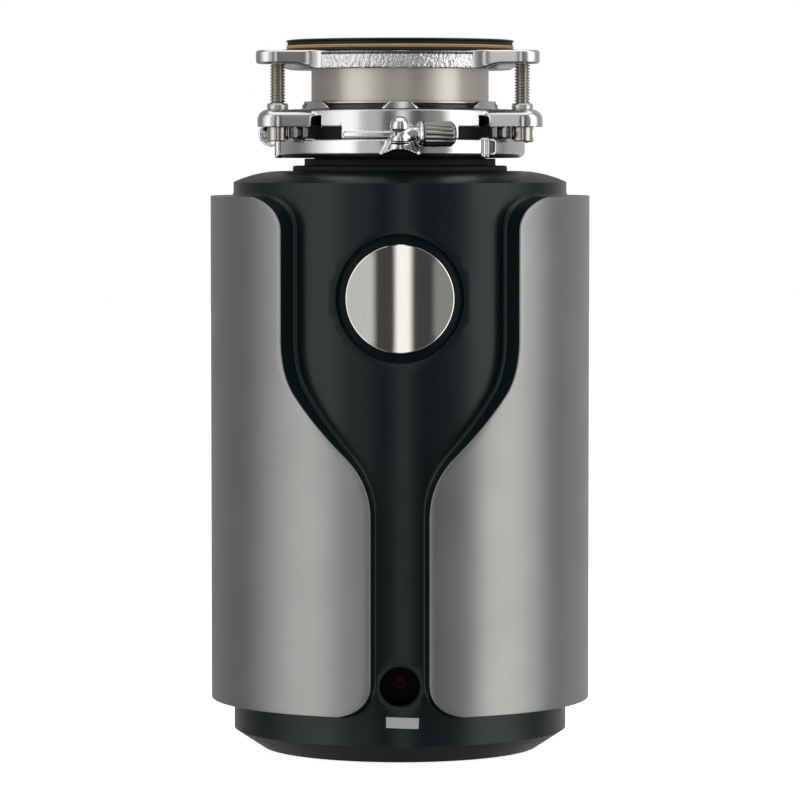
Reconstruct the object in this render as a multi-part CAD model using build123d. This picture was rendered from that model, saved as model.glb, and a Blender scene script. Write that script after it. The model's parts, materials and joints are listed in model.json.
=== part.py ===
from build123d import *
import os
from math import cos, pi, radians, sin, sqrt, tan

# Food waste disposer with a three bolt sink mount, standing upright.
# Millimetres, +Z up, origin on the axis at the bottom face, front towards -Y.

# Clearances
slip = 0.1  # round pieces that are pushed together and stay
swing = 0.3  # between a moving piece and what it passes or seats on
shaft_gap = 0.05  # running fit on the shaft and on turning pins

# Black housing
body_r = 83.5
shell_wall = 3.0
base_inset = 14.4
chamfer_h = 9.4
shell_h = 274.2
cover_rise = 5.5
cover_wall = 3.0
cover_slope_w = 24.5
spigot_h = 5.6

# Side panels and the funnel shaped gap between them, as half widths on the
# plane that touches the panels at the front
cheek_depth = 11.5
panel_t = 0.8
panel_low = 24.7
panel_drop = 6.8
gap_wide = 74.0
gap_stem = 14.55
gap_shoulder = 166.8
gap_slope_low = 114.7
top_round_x = 60.0
top_round_z = 17.4
shoulder_round = 16.7
slope_round = 18.0
foot_round_x = 25.5
foot_round_z = 17.3
edge_lap = 0.5

# Round badge on the front
badge_drop = 56.0
badge_r = 26.5
badge_t = 1.2
badge_proud = 0.4
groove_w = 4.8
groove_depth = 1.8

# Reset button in its recess, low on the front
reset_z = 38.8
recess_r = 9.6
recess_depth = 14.0
guard_wall = 1.8
button_r = 3.0
button_rise = 2.4
button_proud = 3.0
button_travel = 2.5
button_len = 12.0
protector_w = 22.0
protector_h = 20.0
protector_d = 22.0
label_w = 17.0
label_h = 5.8
label_t = 0.25
label_drop = 0.6
label_tilt = 2.0
label_x = 1.2

# Sink mount, from the throat up
throat_step = 1.1
collar_flange_w = 10.4
collar_flange_t = 2.7
collar_sleeve_t = 4.6
collar_sleeve_h = 3.5
lock_ring_over = 5.0
lock_ring_h = 9.2
lock_round = 3.6
lip_w = 5.0
lip_t = 2.3
guard_lap = 1.5
guard_t = 3.6
flap_t = 2.0
flap_hole_r = 9.0
flap_slot_len = 26.0
flap_slot_w = 1.2
flap_count = 8
ring_w = 13.1
ring_t = 8.6
ring_collar_w = 4.6
ring_collar_h = 2.8
snap_w = 3.8
snap_t = 1.4
snap_split = 6.0
groove_in_neck = 0.4
skirt_wall = 2.5
skirt_drop = 5.0
skirt_from = -30.0
skirt_to = 30.0
ledge_w = 2.1
ledge_t = 2.4
ledge_from = -28.0
ledge_to = 22.0
stop_deg = 3.0
ear_angles = (60.0, 180.0, 300.0)
ear_r = 10.5
ear_reach = 12.2
ear_dome = 2.0
ear_flank = 16.0

# Lugs of the lock ring
lug_angles = (0.0, 120.0, 240.0)
lug_reach = 15.5
post_r = 4.8
post_h = 11.2
post_sink = 1.3
flare_r = 9.0
flare_h = 8.0
flare_inset = 1.0
scallop_r = 14.5
scallop_rise = 4.5
scallop_depth = 4.0
screw_turn = 15.0
barrel_r = 3.6
barrel_rise = 2.7
cup_r = 6.6
cup_from = 7.0
cup_len = 3.5
cup_mouth_r = 5.2
cup_mouth_depth = 1.6
hook_w = 9.0
hook_h = 3.6
rib_angle = 42.0
rib_w = 3.8
rib_proud = 1.6

# Locking screw with its knurled knob
pin_r = 2.5
pin_reach = 3.0
knob_r = 6.3
knob_len = 16.7
knob_bore_depth = 9.0
knob_chamfer = 1.2
flute_r = 0.75
flute_count = 22

# Mounting screws
screw_r = 3.9
thread_depth = 0.55
thread_pitch = 1.25
head_r = 4.8
head_h = 7.2
nut_r = 5.2
nut_h = 3.0
dimple_depth = 2.0

# Sink flange and the pieces clamped under the sink
neck_r = 44.4
neck_wall = 1.0
neck_show = 15.8
rim_w = 12.6
rim_t = 1.2
rubber_t = 1.8
rubber_inset = 0.6
fibre_t = 2.8
fibre_over = 0.2
backup_w = 11.6
backup_h = 9.2
backup_ear_h = 6.8
backup_bevel = 1.4

# Grinding chamber
hopper_wall = 2.7
hopper_side_h = 34.0
hopper_dome_h = 26.5
dome_shoulder = 4.0
dome_clear = 4.6
flange_clear = 1.5
flange_w = 5.8
flange_t = 4.0
gasket_t = 1.0
throat_wall = 2.5
ring_seat_inset = 1.1
shredder_wall = 3.5
shredder_h = 24.0
shredder_slots = 36
slot_w = 3.0
slot_h = 12.0
slot_depth = 1.6
table_gap = 1.0
table_t = 3.0
table_rise = 2.0
hub_r = 13.0
hub_h = 26.0
drain_hole_r = 2.5
drain_hole_edge = 8.9
drain_hole_count = 16
pivot_edge = 23.9
impeller_t = 3.0
impeller_r = 10.0
impeller_tip_r = 8.0
impeller_reach = 14.0
impeller_lug_h = 9.0
rivet_r = 4.0
rivet_head_r = 7.5
rivet_head_t = 2.4
table_nut_r = 10.0
table_nut_h = 8.0
jacket_from = 1.0
jacket_h = 46.0
jacket_gap = 0.4

# Discharge chamber, which is also the upper end of the motor
chamber_over = 0.5
chamber_wall = 4.0
chamber_h = 36.0
chamber_floor_t = 4.0
chamber_flange_t = 5.0
hub_wall = 5.0
chamber_screw_edge = 2.6
chamber_screw_angles = (45.0, 90.0, 135.0, 225.0, 270.0, 315.0)
chamber_screw_r = 1.6
chamber_screw_len = 12.0
chamber_screw_head_r = 2.6
chamber_screw_head_t = 1.8

# Outlet at the back
outlet_drop = 19.6
outlet_r = 15.5
port_wall = 3.0
port_flange_r = 22.0
port_proud = 1.3
port_flange_t = 4.5
outlet_ear_r = 6.5
outlet_ear_x = 28.5
outlet_gasket_t = 2.5
spout_len = 26.0
spout_flange_t = 3.5
outlet_screw_r = 2.0
outlet_screw_len = 14.0
outlet_screw_head_r = 3.8
outlet_screw_head_t = 2.6

# Dishwasher inlet at the back
inlet_drop = 5.0
inlet_r = 11.0
inlet_bore_r = 8.0
inlet_reach = 24.5
inlet_flange_r = 13.5
inlet_flange_t = 2.5

# Motor
pillar_r = 6.0
pillar_h = 53.0
pillar_inset = 11.5
pillar_angles = (90.0, 210.0, 330.0)
cover_screw_r = 2.0
cover_screw_head_r = 4.0
cover_screw_head_t = 2.5
cover_screw_bite = 8.0
bell_clear = 7.0
bell_floor_t = 4.0
bell_rise = 28.0
bell_wall = 7.5
iron_w = 29.7
stator_lap = 5.0
stator_seat = 2.0
slot_count = 18
tooth_tip = 3.7
yoke_w = 9.0
slot_fill_w = 6.0
winding_edge = 6.0
winding_rise = 14.0
air_gap = 0.6
end_ring_inset = 2.7
end_ring_w = 13.0
end_ring_t = 4.0
fin_count = 12
fin_h = 3.0
fin_t = 2.0
motor_head = 42.0
bolt_edge = 3.8
bolt_angles = (20.0, 110.0, 200.0, 290.0)
bolt_r = 2.0
bolt_head_r = 3.4
bolt_head_t = 3.0
bolt_bite = 14.0
shaft_r = 6.0
shaft_low = 1.0
shaft_over = 11.0
bearing_r = 16.0
bearing_w = 10.0
race_t = 2.6
ball_r = 2.4
ball_count = 8
ball_play = 0.15
groove_play = 0.3
seal_r = 11.0
seal_h = 8.0
shoulder_bore = 9.0
slinger_r = 20.0
slinger_t = 4.0

# Electrical compartment under the motor
gland_z = 38.8
gland_r = 8.0
gland_bore_r = 4.2
gland_flange_r = 11.5
gland_flange_t = 9.0
gland_inside = 12.0
gland_nut_r = 11.0
gland_nut_t = 4.0
block_l = 34.0
block_w = 16.0
block_h = 14.0
block_y = 34.0
block_hole_r = 2.2
block_poles = 3
earth_r = 2.0
earth_head_r = 4.0
earth_head_t = 2.4
earth_boss_r = 5.0
earth_boss_h = 8.0
earth_x = 34.0
capacitor_r = 14.0
capacitor_l = 52.0
capacitor_x = -42.0
clip_t = 1.2
clip_w = 12.0

# Levels, all worked out from the sizes above
shell_top = chamfer_h + shell_h
cover_top = shell_top + cover_rise
panel_top = shell_top - panel_drop
badge_z = shell_top - badge_drop
collar_top = cover_top + collar_flange_t + collar_sleeve_h
lock_low = collar_top + swing
lock_top = lock_low + lock_ring_h
lip_low = lock_top + swing
lip_top = lip_low + lip_t
guard_top = lip_top + guard_t
ring_low = guard_top
ring_top = ring_low + ring_t
snap_low = ring_top + ring_collar_h
snap_top = snap_low + snap_t
backup_low = snap_top + neck_show
backup_top = backup_low + backup_h
fibre_top = backup_top + fibre_t
rubber_top = fibre_top + rubber_t
rim_top = rubber_top + rim_t
dome_top = cover_top - cover_wall - dome_clear
dome_low = dome_top - hopper_dome_h
inlet_z = dome_low - inlet_drop
hopper_flange_top = dome_low - hopper_side_h
hopper_low = hopper_flange_top - flange_t
chamber_top = hopper_low - gasket_t
floor_top = chamber_top - chamber_h
floor_low = floor_top - chamber_floor_t
stator_top = floor_low - motor_head
bell_low = cover_wall + pillar_h
stator_low = bell_low + bell_rise
stator_h = stator_top - stator_low
table_low = chamber_top + table_rise
table_top = table_low + table_t
hub_low = table_low - hub_h
outlet_z = chamber_top - outlet_drop
lower_bearing_z = bell_low + bell_floor_t
upper_bearing_z = floor_low - seal_h - bearing_w - 2.0
seal_low = floor_top - seal_h
barrel_z = lock_top + barrel_rise
button_z = reset_z + button_rise

# Radii that follow from a neighbour
shell_in = body_r - shell_wall
base_r = body_r - base_inset
cover_flat_r = body_r - cover_slope_w
panel_r = body_r + cheek_depth
cheek_r = panel_r - panel_t
badge_in = body_r + badge_proud - badge_t
groove_r = badge_r + groove_w
port_face = body_r + port_proud
inlet_end = body_r + inlet_reach
neck_in = neck_r - neck_wall
rim_r = neck_r + rim_w
rubber_r = rim_r - rubber_inset
fibre_r = rim_r + fibre_over
backup_r = neck_r + backup_w
snap_r = neck_r + snap_w
ring_collar_r = neck_r + ring_collar_w
ring_r = neck_r + ring_w
ledge_r = ring_r + ledge_w
screw_circle = ring_r + ear_reach
lug_r = ring_r + lug_reach
lock_ring_r = ring_r + lock_ring_over
throat_hole_r = neck_r - throat_step
collar_flange_r = throat_hole_r + collar_flange_w
collar_sleeve_r = throat_hole_r + collar_sleeve_t
throat_r = throat_hole_r - swing
throat_in = throat_r - throat_wall
lip_r = throat_r + lip_w
guard_r = lip_r + guard_lap
flange_r = shell_in - flange_clear
hopper_r = flange_r - flange_w
hopper_in = hopper_r - hopper_wall
hopper_dome_r = throat_r + dome_shoulder
shredder_r = hopper_in - slip
shredder_in = shredder_r - shredder_wall
ring_seat_r = shredder_in + ring_seat_inset
table_r = shredder_in - table_gap
drain_hole_circle = table_r - drain_hole_edge
pivot_circle = table_r - pivot_edge
chamber_screw_circle = flange_r - chamber_screw_edge
bell_r = shell_in - bell_clear
pillar_circle = bell_r - pillar_inset
chamber_r = bell_r + chamber_over
chamber_in = chamber_r - chamber_wall
stator_r = bell_r - bell_wall
stator_bore = stator_r - iron_w
stator_fit = stator_r + slip
bolt_circle = stator_r + bolt_edge
slot_inner = stator_bore + tooth_tip
slot_outer = stator_r - yoke_w
winding_outer = stator_r - winding_edge
rotor_r = stator_bore - air_gap
end_ring_r = rotor_r - end_ring_inset
end_ring_bore = end_ring_r - end_ring_w
ball_circle = (bearing_r + shaft_r) / 2


# Shapes used again and again

def disc(r, low, high):
    return Pos(0, 0, low) * extrude(Circle(r), high - low)


def ring(r, bore, low, high):
    return Pos(0, 0, low) * extrude(Circle(r) - Circle(bore), high - low)


def turned(*points):
    return revolve(make_face(Plane.XZ * Polyline(*points, close=True)), Axis.Z)


def rod_y(r, x, z, y_from, y_to):
    start = Plane(origin=(x, y_from, z), x_dir=(1, 0, 0), z_dir=(0, 1, 0))
    return start * extrude(Circle(r), y_to - y_from)


def rod_x(r, y, z, x_from, x_to):
    start = Plane(origin=(x_from, y, z), x_dir=(0, 1, 0), z_dir=(1, 0, 0))
    return start * extrude(Circle(r), x_to - x_from)


def cone_x(r_from, r_to, y, z, x_from, x_to):
    middle = (x_from + x_to) / 2
    return Pos(middle, y, z) * Rot(0, 90, 0) * Cone(r_from, r_to, x_to - x_from)


def block(x_size, y_size, z_size, x, y, z_low):
    return Pos(x, y, z_low + z_size / 2) * Box(x_size, y_size, z_size)


def around(shape, angles):
    return [Rot(0, 0, angle) * shape for angle in angles]


def evenly(count):
    return [360 * i / count for i in range(count)]


def group(shapes):
    return Compound(children=list(shapes))


def sector(r, start, stop, low, high):
    # Wedge about the axis, angles measured from the front towards +X
    reach = 2 * r
    half = radians(stop - start) / 2
    middle = (start + stop) / 2
    wedge = Polyline((0, 0), (reach * sin(half), -reach * cos(half)),
                     (-reach * sin(half), -reach * cos(half)), close=True)
    return Rot(0, 0, middle) * Pos(0, 0, low) * extrude(make_face(wedge), high - low)


def save(name, shape):
    export_step(shape, f"parts/{name}.step")


# Housing

def gap_section(distance, grow):
    # Outline of the front gap on the plane y = -distance, widened by grow
    slope = (gap_shoulder - gap_slope_low) / (gap_wide - gap_stem)
    drop = grow * (sqrt(1 + slope ** 2) - slope)
    run = 1 / sqrt(1 + slope ** 2)
    rise = slope * run
    stem = gap_stem + grow
    wide = gap_wide + grow
    foot = panel_low + grow - edge_lap
    knee = panel_low + gap_slope_low - drop
    shoulder = panel_low + gap_shoulder - drop
    top = panel_top - grow + edge_lap
    narrow = distance / panel_r

    def at(x, z):
        return (x * narrow, z)

    half = [
        Line(at(0, foot - 2 * shell_wall), at(stem + foot_round_x, foot - 2 * shell_wall)),
        Line(at(stem + foot_round_x, foot - 2 * shell_wall), at(stem + foot_round_x, foot)),
        Bezier(at(stem + foot_round_x, foot), at(stem, foot), at(stem, foot + foot_round_z)),
        Line(at(stem, foot + foot_round_z), at(stem, knee - slope_round)),
        Bezier(at(stem, knee - slope_round), at(stem, knee),
               at(stem + slope_round * run, knee + slope_round * rise)),
        Line(at(stem + slope_round * run, knee + slope_round * rise),
             at(wide - shoulder_round * run, shoulder - shoulder_round * rise)),
        Bezier(at(wide - shoulder_round * run, shoulder - shoulder_round * rise),
               at(wide, shoulder), at(wide, shoulder + shoulder_round)),
        Line(at(wide, shoulder + shoulder_round), at(wide, top - top_round_z)),
        Bezier(at(wide, top - top_round_z), at(wide, top), at(wide + top_round_x, top)),
        Line(at(wide + top_round_x, top), at(wide + top_round_x, top + 2 * shell_wall)),
        Line(at(wide + top_round_x, top + 2 * shell_wall), at(0, top + 2 * shell_wall)),
    ]
    half = Curve() + half
    outline = half + mirror(half, about=Plane.YZ)
    plane = Plane(origin=(0, -distance, 0), x_dir=(1, 0, 0), z_dir=(0, -1, 0))
    return plane * make_face(outline)


def gap_cutters(grow=0.0):
    # Wedges with radial sides, one at the front and one at the back
    inner = gap_section(panel_r / 3, grow)
    outer = gap_section(panel_r * 1.3, grow)
    front = loft([inner, outer], ruled=True)
    return front, Rot(0, 0, 180) * front


def body_shell():
    shell = ring(body_r, shell_in, chamfer_h, shell_top)
    # Ring groove round the badge
    groove = rod_y(groove_r, 0, badge_z, -panel_r, -body_r / 2)
    groove -= rod_y(badge_r + slip, 0, badge_z, -panel_r, -body_r / 2)
    groove -= disc(body_r - groove_depth, badge_z - 2 * groove_r, badge_z + 2 * groove_r)
    shell -= groove
    pocket = rod_y(badge_r + slip, 0, badge_z, -panel_r, -body_r / 2)
    shell -= pocket - disc(badge_in, badge_z - 2 * groove_r, badge_z + 2 * groove_r)
    # Holes for the reset recess, the outlet, the dishwasher inlet and the cable
    shell -= rod_y(recess_r, 0, reset_z, -panel_r, -body_r / 2)
    shell -= outlet_outline(2 * swing + slip, body_r / 2, panel_r)
    shell -= rod_y(inlet_r + swing, 0, inlet_z, body_r / 2, panel_r)
    shell -= rod_y(gland_r + slip, 0, gland_z, body_r / 2, panel_r)
    return shell


def outlet_outline(grow, y_from, y_to):
    # Round flange with an ear at each side, used by the port, spout and hole
    shape = rod_y(port_flange_r + grow, 0, outlet_z, y_from, y_to)
    for side in (-1, 1):
        shape += rod_y(outlet_ear_r + grow, side * outlet_ear_x, outlet_z, y_from, y_to)
    shape += block(2 * outlet_ear_x, y_to - y_from, 2 * (outlet_ear_r + grow),
                   0, (y_from + y_to) / 2, outlet_z - outlet_ear_r - grow)
    return shape


def left_then_right(shape):
    return sorted(shape.solids(), key=lambda solid: solid.center().X)


def side_cheeks():
    # Black side shells that carry the panels, open towards the body
    cheeks = ring(cheek_r, body_r + slip, panel_low, panel_top)
    for cutter in gap_cutters():
        cheeks -= cutter
    room = disc(cheek_r - shell_wall, panel_low + shell_wall, panel_top - shell_wall)
    for cutter in gap_cutters(shell_wall):
        room -= cutter
    return left_then_right(cheeks - room)


def side_panels():
    panels = ring(panel_r, cheek_r, panel_low, panel_top)
    for cutter in gap_cutters():
        panels -= cutter
    return left_then_right(panels)


def top_cover():
    outer = [
        Line((throat_hole_r, cover_top), (cover_flat_r, cover_top)),
        TangentArc((cover_flat_r, cover_top), (body_r, shell_top), tangent=(1, 0)),
        Line((body_r, shell_top), (shell_in - slip, shell_top)),
        Line((shell_in - slip, shell_top), (shell_in - slip, shell_top - spigot_h)),
        Line((shell_in - slip, shell_top - spigot_h),
             (shell_in - cover_wall, shell_top - spigot_h)),
        Line((shell_in - cover_wall, shell_top - spigot_h),
             (shell_in - cover_wall, shell_top)),
        Line((shell_in - cover_wall, shell_top), (cover_flat_r, cover_top - cover_wall)),
        Line((cover_flat_r, cover_top - cover_wall),
             (throat_hole_r, cover_top - cover_wall)),
        Line((throat_hole_r, cover_top - cover_wall), (throat_hole_r, cover_top)),
    ]
    return revolve(make_face(Plane.XZ * (Curve() + outer)), Axis.Z)


def bottom_cover():
    cover = turned((0, 0), (base_r, 0), (body_r, chamfer_h), (shell_in - slip, chamfer_h),
                   (shell_in - slip, chamfer_h + spigot_h),
                   (shell_in - cover_wall, chamfer_h + spigot_h),
                   (shell_in - cover_wall, chamfer_h), (base_r - cover_wall, cover_wall),
                   (0, cover_wall))
    pillar = Pos(0, -pillar_circle, 0) * disc(pillar_r, cover_wall / 2, bell_low)
    for post in around(pillar, pillar_angles):
        cover += post
    hole = Pos(0, -pillar_circle, 0) * disc(cover_screw_r + slip, -1, bell_low + 1)
    hole += Pos(0, -pillar_circle, 0) * disc(cover_screw_head_r + slip, -1,
                                             cover_screw_head_t + slip)
    for drilled in around(hole, pillar_angles):
        cover -= drilled
    cover += Pos(earth_x, block_y, 0) * disc(earth_boss_r, cover_wall / 2,
                                             cover_wall + earth_boss_h)
    cover -= Pos(earth_x, block_y, 0) * disc(earth_r + slip, cover_wall,
                                             cover_wall + earth_boss_h + 1)
    return cover


def cover_screws():
    head = disc(cover_screw_head_r, slip, cover_screw_head_t)
    head += disc(cover_screw_r, cover_screw_head_t / 2, bell_low + cover_screw_bite)
    return group(around(Pos(0, -pillar_circle, 0) * head, pillar_angles))


def badge_disc():
    face = ring(badge_in + badge_t, badge_in, badge_z - 2 * badge_r, badge_z + 2 * badge_r)
    return face & rod_y(badge_r, 0, badge_z, -panel_r, -body_r / 2)


# Reset button

def reset_guard():
    back = -(shell_in - recess_depth)
    cup = rod_y(recess_r + guard_wall, 0, reset_z, -body_r, back + guard_wall)
    cup -= rod_y(recess_r, 0, reset_z, -body_r - 1, back)
    cup &= disc(shell_in, reset_z - 2 * recess_r, reset_z + 2 * recess_r)
    cup -= rod_y(button_r + swing, 0, button_z, -body_r, 0)
    return cup


def overload_protector():
    face = -(shell_in - recess_depth) + guard_wall
    case = block(protector_w, protector_d, protector_h, 0, face + protector_d / 2,
                 button_z - protector_h / 2)
    depth = button_len - button_proud - guard_wall + button_travel + swing
    case -= rod_y(button_r + swing, 0, button_z, face - 1, face + depth)
    for side in (-1, 1):
        case += block(protector_w / 8, protector_d / 4, protector_h / 3,
                      side * protector_w / 4, face + protector_d * 1.1,
                      button_z - protector_h / 6)
    # Foot that stands on the bottom cover
    case += block(protector_w / 2, protector_d / 2, button_z - protector_h / 2 - cover_wall,
                  0, face + protector_d / 2, cover_wall)
    return case


def reset_button():
    back = -(shell_in - recess_depth)
    return rod_y(button_r, 0, button_z, back - button_proud,
                 back - button_proud + button_len)


def reset_label():
    low = panel_low - label_drop - label_h
    skin = ring(body_r + label_t, body_r, 0, panel_low * 2)
    sheet = Box(label_w, body_r / 2, label_h)
    sheet = Pos(label_x, -body_r, low + label_h / 2) * Rot(0, label_tilt, 0) * sheet
    return skin & sheet


# Sink flange and what is clamped under the sink

def sink_flange():
    groove = neck_r - groove_in_neck
    return turned((neck_in, ring_low), (neck_r, ring_low),
                  (neck_r, snap_low - slip), (groove, snap_low - slip),
                  (groove, snap_top + slip), (neck_r, snap_top + slip),
                  (neck_r, rubber_top), (rim_r, rubber_top), (rim_r, rim_top - rim_t / 2),
                  (rim_r - rim_t, rim_top), (neck_in + rim_t, rim_top),
                  (neck_in, rim_top - rim_t))


def flange_gasket():
    return ring(rubber_r, neck_r + slip, fibre_top, rubber_top)


def fibre_gasket():
    return ring(fibre_r, neck_r + slip, backup_top, fibre_top)


def ears(hub, low, high, dome):
    # Three ears with domed tips, their flanks tangent to the tips
    height = high - low
    lean = radians(ear_flank)
    tip_x = ear_r * cos(lean)
    tip_y = -screw_circle - ear_r * sin(lean)
    root_x = tip_x + tan(lean) * (-hub - tip_y)
    plan = Polyline((-root_x, -hub), (root_x, -hub), (tip_x, tip_y), (-tip_x, tip_y),
                    close=True)
    ear = extrude(make_face(plan), height)
    tip = turned((0, 0), (ear_r, 0), (ear_r, height - dome), (ear_r - dome, height),
                 (0, height))
    ear = Pos(0, 0, low) * (ear + Pos(0, -screw_circle, 0) * tip)
    return around(ear, ear_angles)


def backup_flange():
    flange = turned((neck_r + slip, backup_low), (backup_r - backup_bevel / 2, backup_low),
                    (backup_r, backup_low + backup_bevel / 2),
                    (backup_r, backup_top - backup_bevel),
                    (backup_r - backup_bevel, backup_top), (neck_r + slip, backup_top))
    ear_low = backup_top - backup_ear_h
    for ear in ears(backup_r - 2 * backup_bevel, ear_low, backup_top, ear_dome / 2):
        flange += ear
    dimple = Pos(0, -screw_circle, 0) * disc(screw_r + slip, backup_low,
                                             ear_low + dimple_depth)
    for hole in around(dimple, ear_angles):
        flange -= hole
    return flange


def mounting_ring():
    body = ring(ring_r, neck_r + swing, ring_low, ring_top)
    body += ring(ring_collar_r, neck_r + swing, ring_top - 1, snap_low)
    for ear in ears(ring_r * 0.92, ring_low, ring_top, ear_dome):
        body += ear
    skirt = ring(ring_r, ring_r - skirt_wall, ring_low - skirt_drop, ring_low + 1)
    skirt = skirt & sector(ring_r, skirt_from, skirt_to, ring_low - 2 * skirt_drop, ring_top)
    ledge = ring(ledge_r, ring_r - skirt_wall, ring_low - skirt_drop,
                 ring_low - skirt_drop + ledge_t)
    ledge = ledge & sector(ledge_r, ledge_from, ledge_to, ring_low - 2 * skirt_drop, ring_top)
    hook_half = degree_of(hook_w / 2, ring_r)
    stop = ring(ledge_r, ring_r - skirt_wall, ring_low - skirt_drop, ring_low)
    stop = stop & sector(ledge_r, hook_half + stop_deg / 3, hook_half + stop_deg * 4 / 3,
                         ring_low - 2 * skirt_drop, ring_top)
    for ramp in around(skirt + ledge + stop, lug_angles):
        body += ramp
    hole = Pos(0, -screw_circle, 0) * disc(screw_r + slip, ring_low - 1, ring_top + 1)
    for drilled in around(hole, ear_angles):
        body -= drilled
    return body


def degree_of(length, radius):
    return length / radius * 180 / pi


def snap_ring():
    wire = ring(snap_r, neck_r - groove_in_neck + slip / 2, snap_low, snap_top)
    split = block(snap_split, 2 * snap_r, 3 * snap_t, 0, snap_r, snap_low - snap_t)
    return wire - split


def mounting_screws():
    # Round ridges stand for the thread
    tip = backup_top - backup_ear_h + dimple_depth
    low = ring_low
    root = screw_r - thread_depth
    points = [(0, low - head_h), (head_r - 0.5, low - head_h), (head_r, low - head_h + 0.5),
              (head_r, low), (screw_r, low), (screw_r, ring_top + nut_h)]
    turns = int((tip - ring_top - nut_h - thread_pitch) / thread_pitch)
    for i in range(turns):
        start = ring_top + nut_h + i * thread_pitch
        points.append((root, start + thread_pitch / 2))
        points.append((screw_r, start + thread_pitch))
    points.append((root, tip))
    points.append((0, tip))
    screw = turned(*points)
    socket = extrude(RegularPolygon(head_r * 0.5, 6), head_h / 2)
    screw -= Pos(0, 0, low - head_h) * socket
    return group(around(Pos(0, -screw_circle, 0) * screw, ear_angles))


def screw_collars():
    collar = turned((screw_r + slip, ring_top), (nut_r, ring_top),
                    (nut_r, ring_top + nut_h * 0.6), (nut_r * 0.9, ring_top + nut_h),
                    (screw_r + slip, ring_top + nut_h))
    return group(around(Pos(0, -screw_circle, 0) * collar, ear_angles))


# Lock ring and its locking screw

def along_screw(shape):
    # From the post of the front lug, turned to lie along the rim of the ring
    return Pos(0, -lug_r, 0) * Rot(0, 0, screw_turn) * shape


def lug():
    post_low = lock_top - post_sink
    post_top = lock_top + post_h
    hook_low = ring_low - skirt_drop + ledge_t + swing
    post = Pos(0, -lug_r, 0) * disc(post_r, post_low, post_top - post_r)
    post += Pos(0, -lug_r, post_top - post_r) * Sphere(post_r)
    bridge_from = ledge_r + swing
    post += block(2 * post_r, lug_r - bridge_from, hook_low - post_low, 0,
                  -(lug_r + bridge_from) / 2, post_low)
    flare = Cone(flare_r, post_r, flare_h)
    post += Pos(0, flare_inset - lock_ring_r, lock_top + swing - flare_h / 2) * flare
    barrel = rod_x(barrel_r, 0, barrel_z, 0, cup_from + cup_len / 2)
    barrel += cone_x(barrel_r, cup_r, 0, barrel_z, cup_from, cup_from + cup_len)
    # Lip that hangs over the ramp of the mounting ring
    lip = block(hook_w, lug_r - ring_r - swing, hook_h, 0,
                -(lug_r + ring_r + swing) / 2, hook_low)
    lip -= disc(ring_r + swing, hook_low - 1, hook_low + hook_h + 1)
    return post + along_screw(barrel) + lip


def lock_ring():
    bend = lock_round * (1 - sqrt(0.5))
    body = turned((throat_hole_r + swing, lock_low), (lock_ring_r - lock_round, lock_low),
                  (lock_ring_r - bend, lock_low + bend),
                  (lock_ring_r, lock_low + lock_round), (lock_ring_r, lock_top - 0.8),
                  (lock_ring_r - 0.8, lock_top), (throat_hole_r + swing, lock_top))
    rib = block(rib_w, rib_proud + 2, lock_ring_h + 1.0, 0,
                -lock_ring_r - rib_proud + (rib_proud + 2) / 2, lock_low)
    scallop = rod_y(scallop_r, 0, lock_low + scallop_rise - scallop_r,
                    -lug_r - post_r - 1, scallop_depth - lock_ring_r)
    bore = along_screw(rod_x(pin_r + swing, 0, barrel_z, -pin_reach, cup_from + cup_len + 1))
    mouth = along_screw(cone_x(pin_r + swing, cup_mouth_r, 0, barrel_z,
                               cup_from + cup_len - cup_mouth_depth, cup_from + cup_len))
    for angle in lug_angles:
        body += Rot(0, 0, angle) * lug()
        body += Rot(0, 0, angle + rib_angle) * rib
    for angle in lug_angles:
        body -= Rot(0, 0, angle) * scallop
        body -= Rot(0, 0, angle) * bore
        body -= Rot(0, 0, angle) * mouth
    body -= disc(throat_hole_r + swing, lock_low - 1, ring_top)
    return body


def lock_pin():
    start = cup_from + cup_len + swing
    return along_screw(rod_x(pin_r, 0, barrel_z, swing - pin_reach,
                             start + knob_bore_depth - swing))


def lock_knob():
    start = cup_from + cup_len + swing
    knob = rod_x(knob_r, 0, barrel_z, start, start + knob_len - knob_chamfer)
    knob += cone_x(knob_r, knob_r - knob_chamfer, 0, barrel_z,
                   start + knob_len - knob_chamfer, start + knob_len)
    for angle in evenly(flute_count):
        y = knob_r * cos(radians(angle))
        z = barrel_z + knob_r * sin(radians(angle))
        knob -= rod_x(flute_r, y, z, start + knob_chamfer, start + knob_len + 1)
    knob -= rod_x(pin_r + shaft_gap, 0, barrel_z, start - 1, start + knob_bore_depth)
    return along_screw(knob)


# Throat

def throat_collar():
    flange_top = cover_top + collar_flange_t
    return turned((throat_hole_r, cover_top), (collar_flange_r, cover_top),
                  (collar_flange_r, flange_top), (collar_sleeve_r, flange_top),
                  (collar_sleeve_r, collar_top), (throat_hole_r, collar_top))


def splash_guard():
    guard = ring(guard_r, throat_in, lip_top, guard_top)
    guard += ring(guard_r, lip_r + slip, lip_low + slip, lip_top + 0.5)
    flap_low = lip_top + (guard_t - flap_t) / 2
    guard += ring(throat_in + 1, flap_hole_r, flap_low, flap_low + flap_t)
    slot = block(flap_slot_w, flap_slot_len, 3 * flap_t, 0,
                 -flap_hole_r - flap_slot_len / 2 + 1, flap_low - flap_t)
    for cut in around(slot, evenly(flap_count)):
        guard -= cut
    return guard


# Grinding chamber

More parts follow.
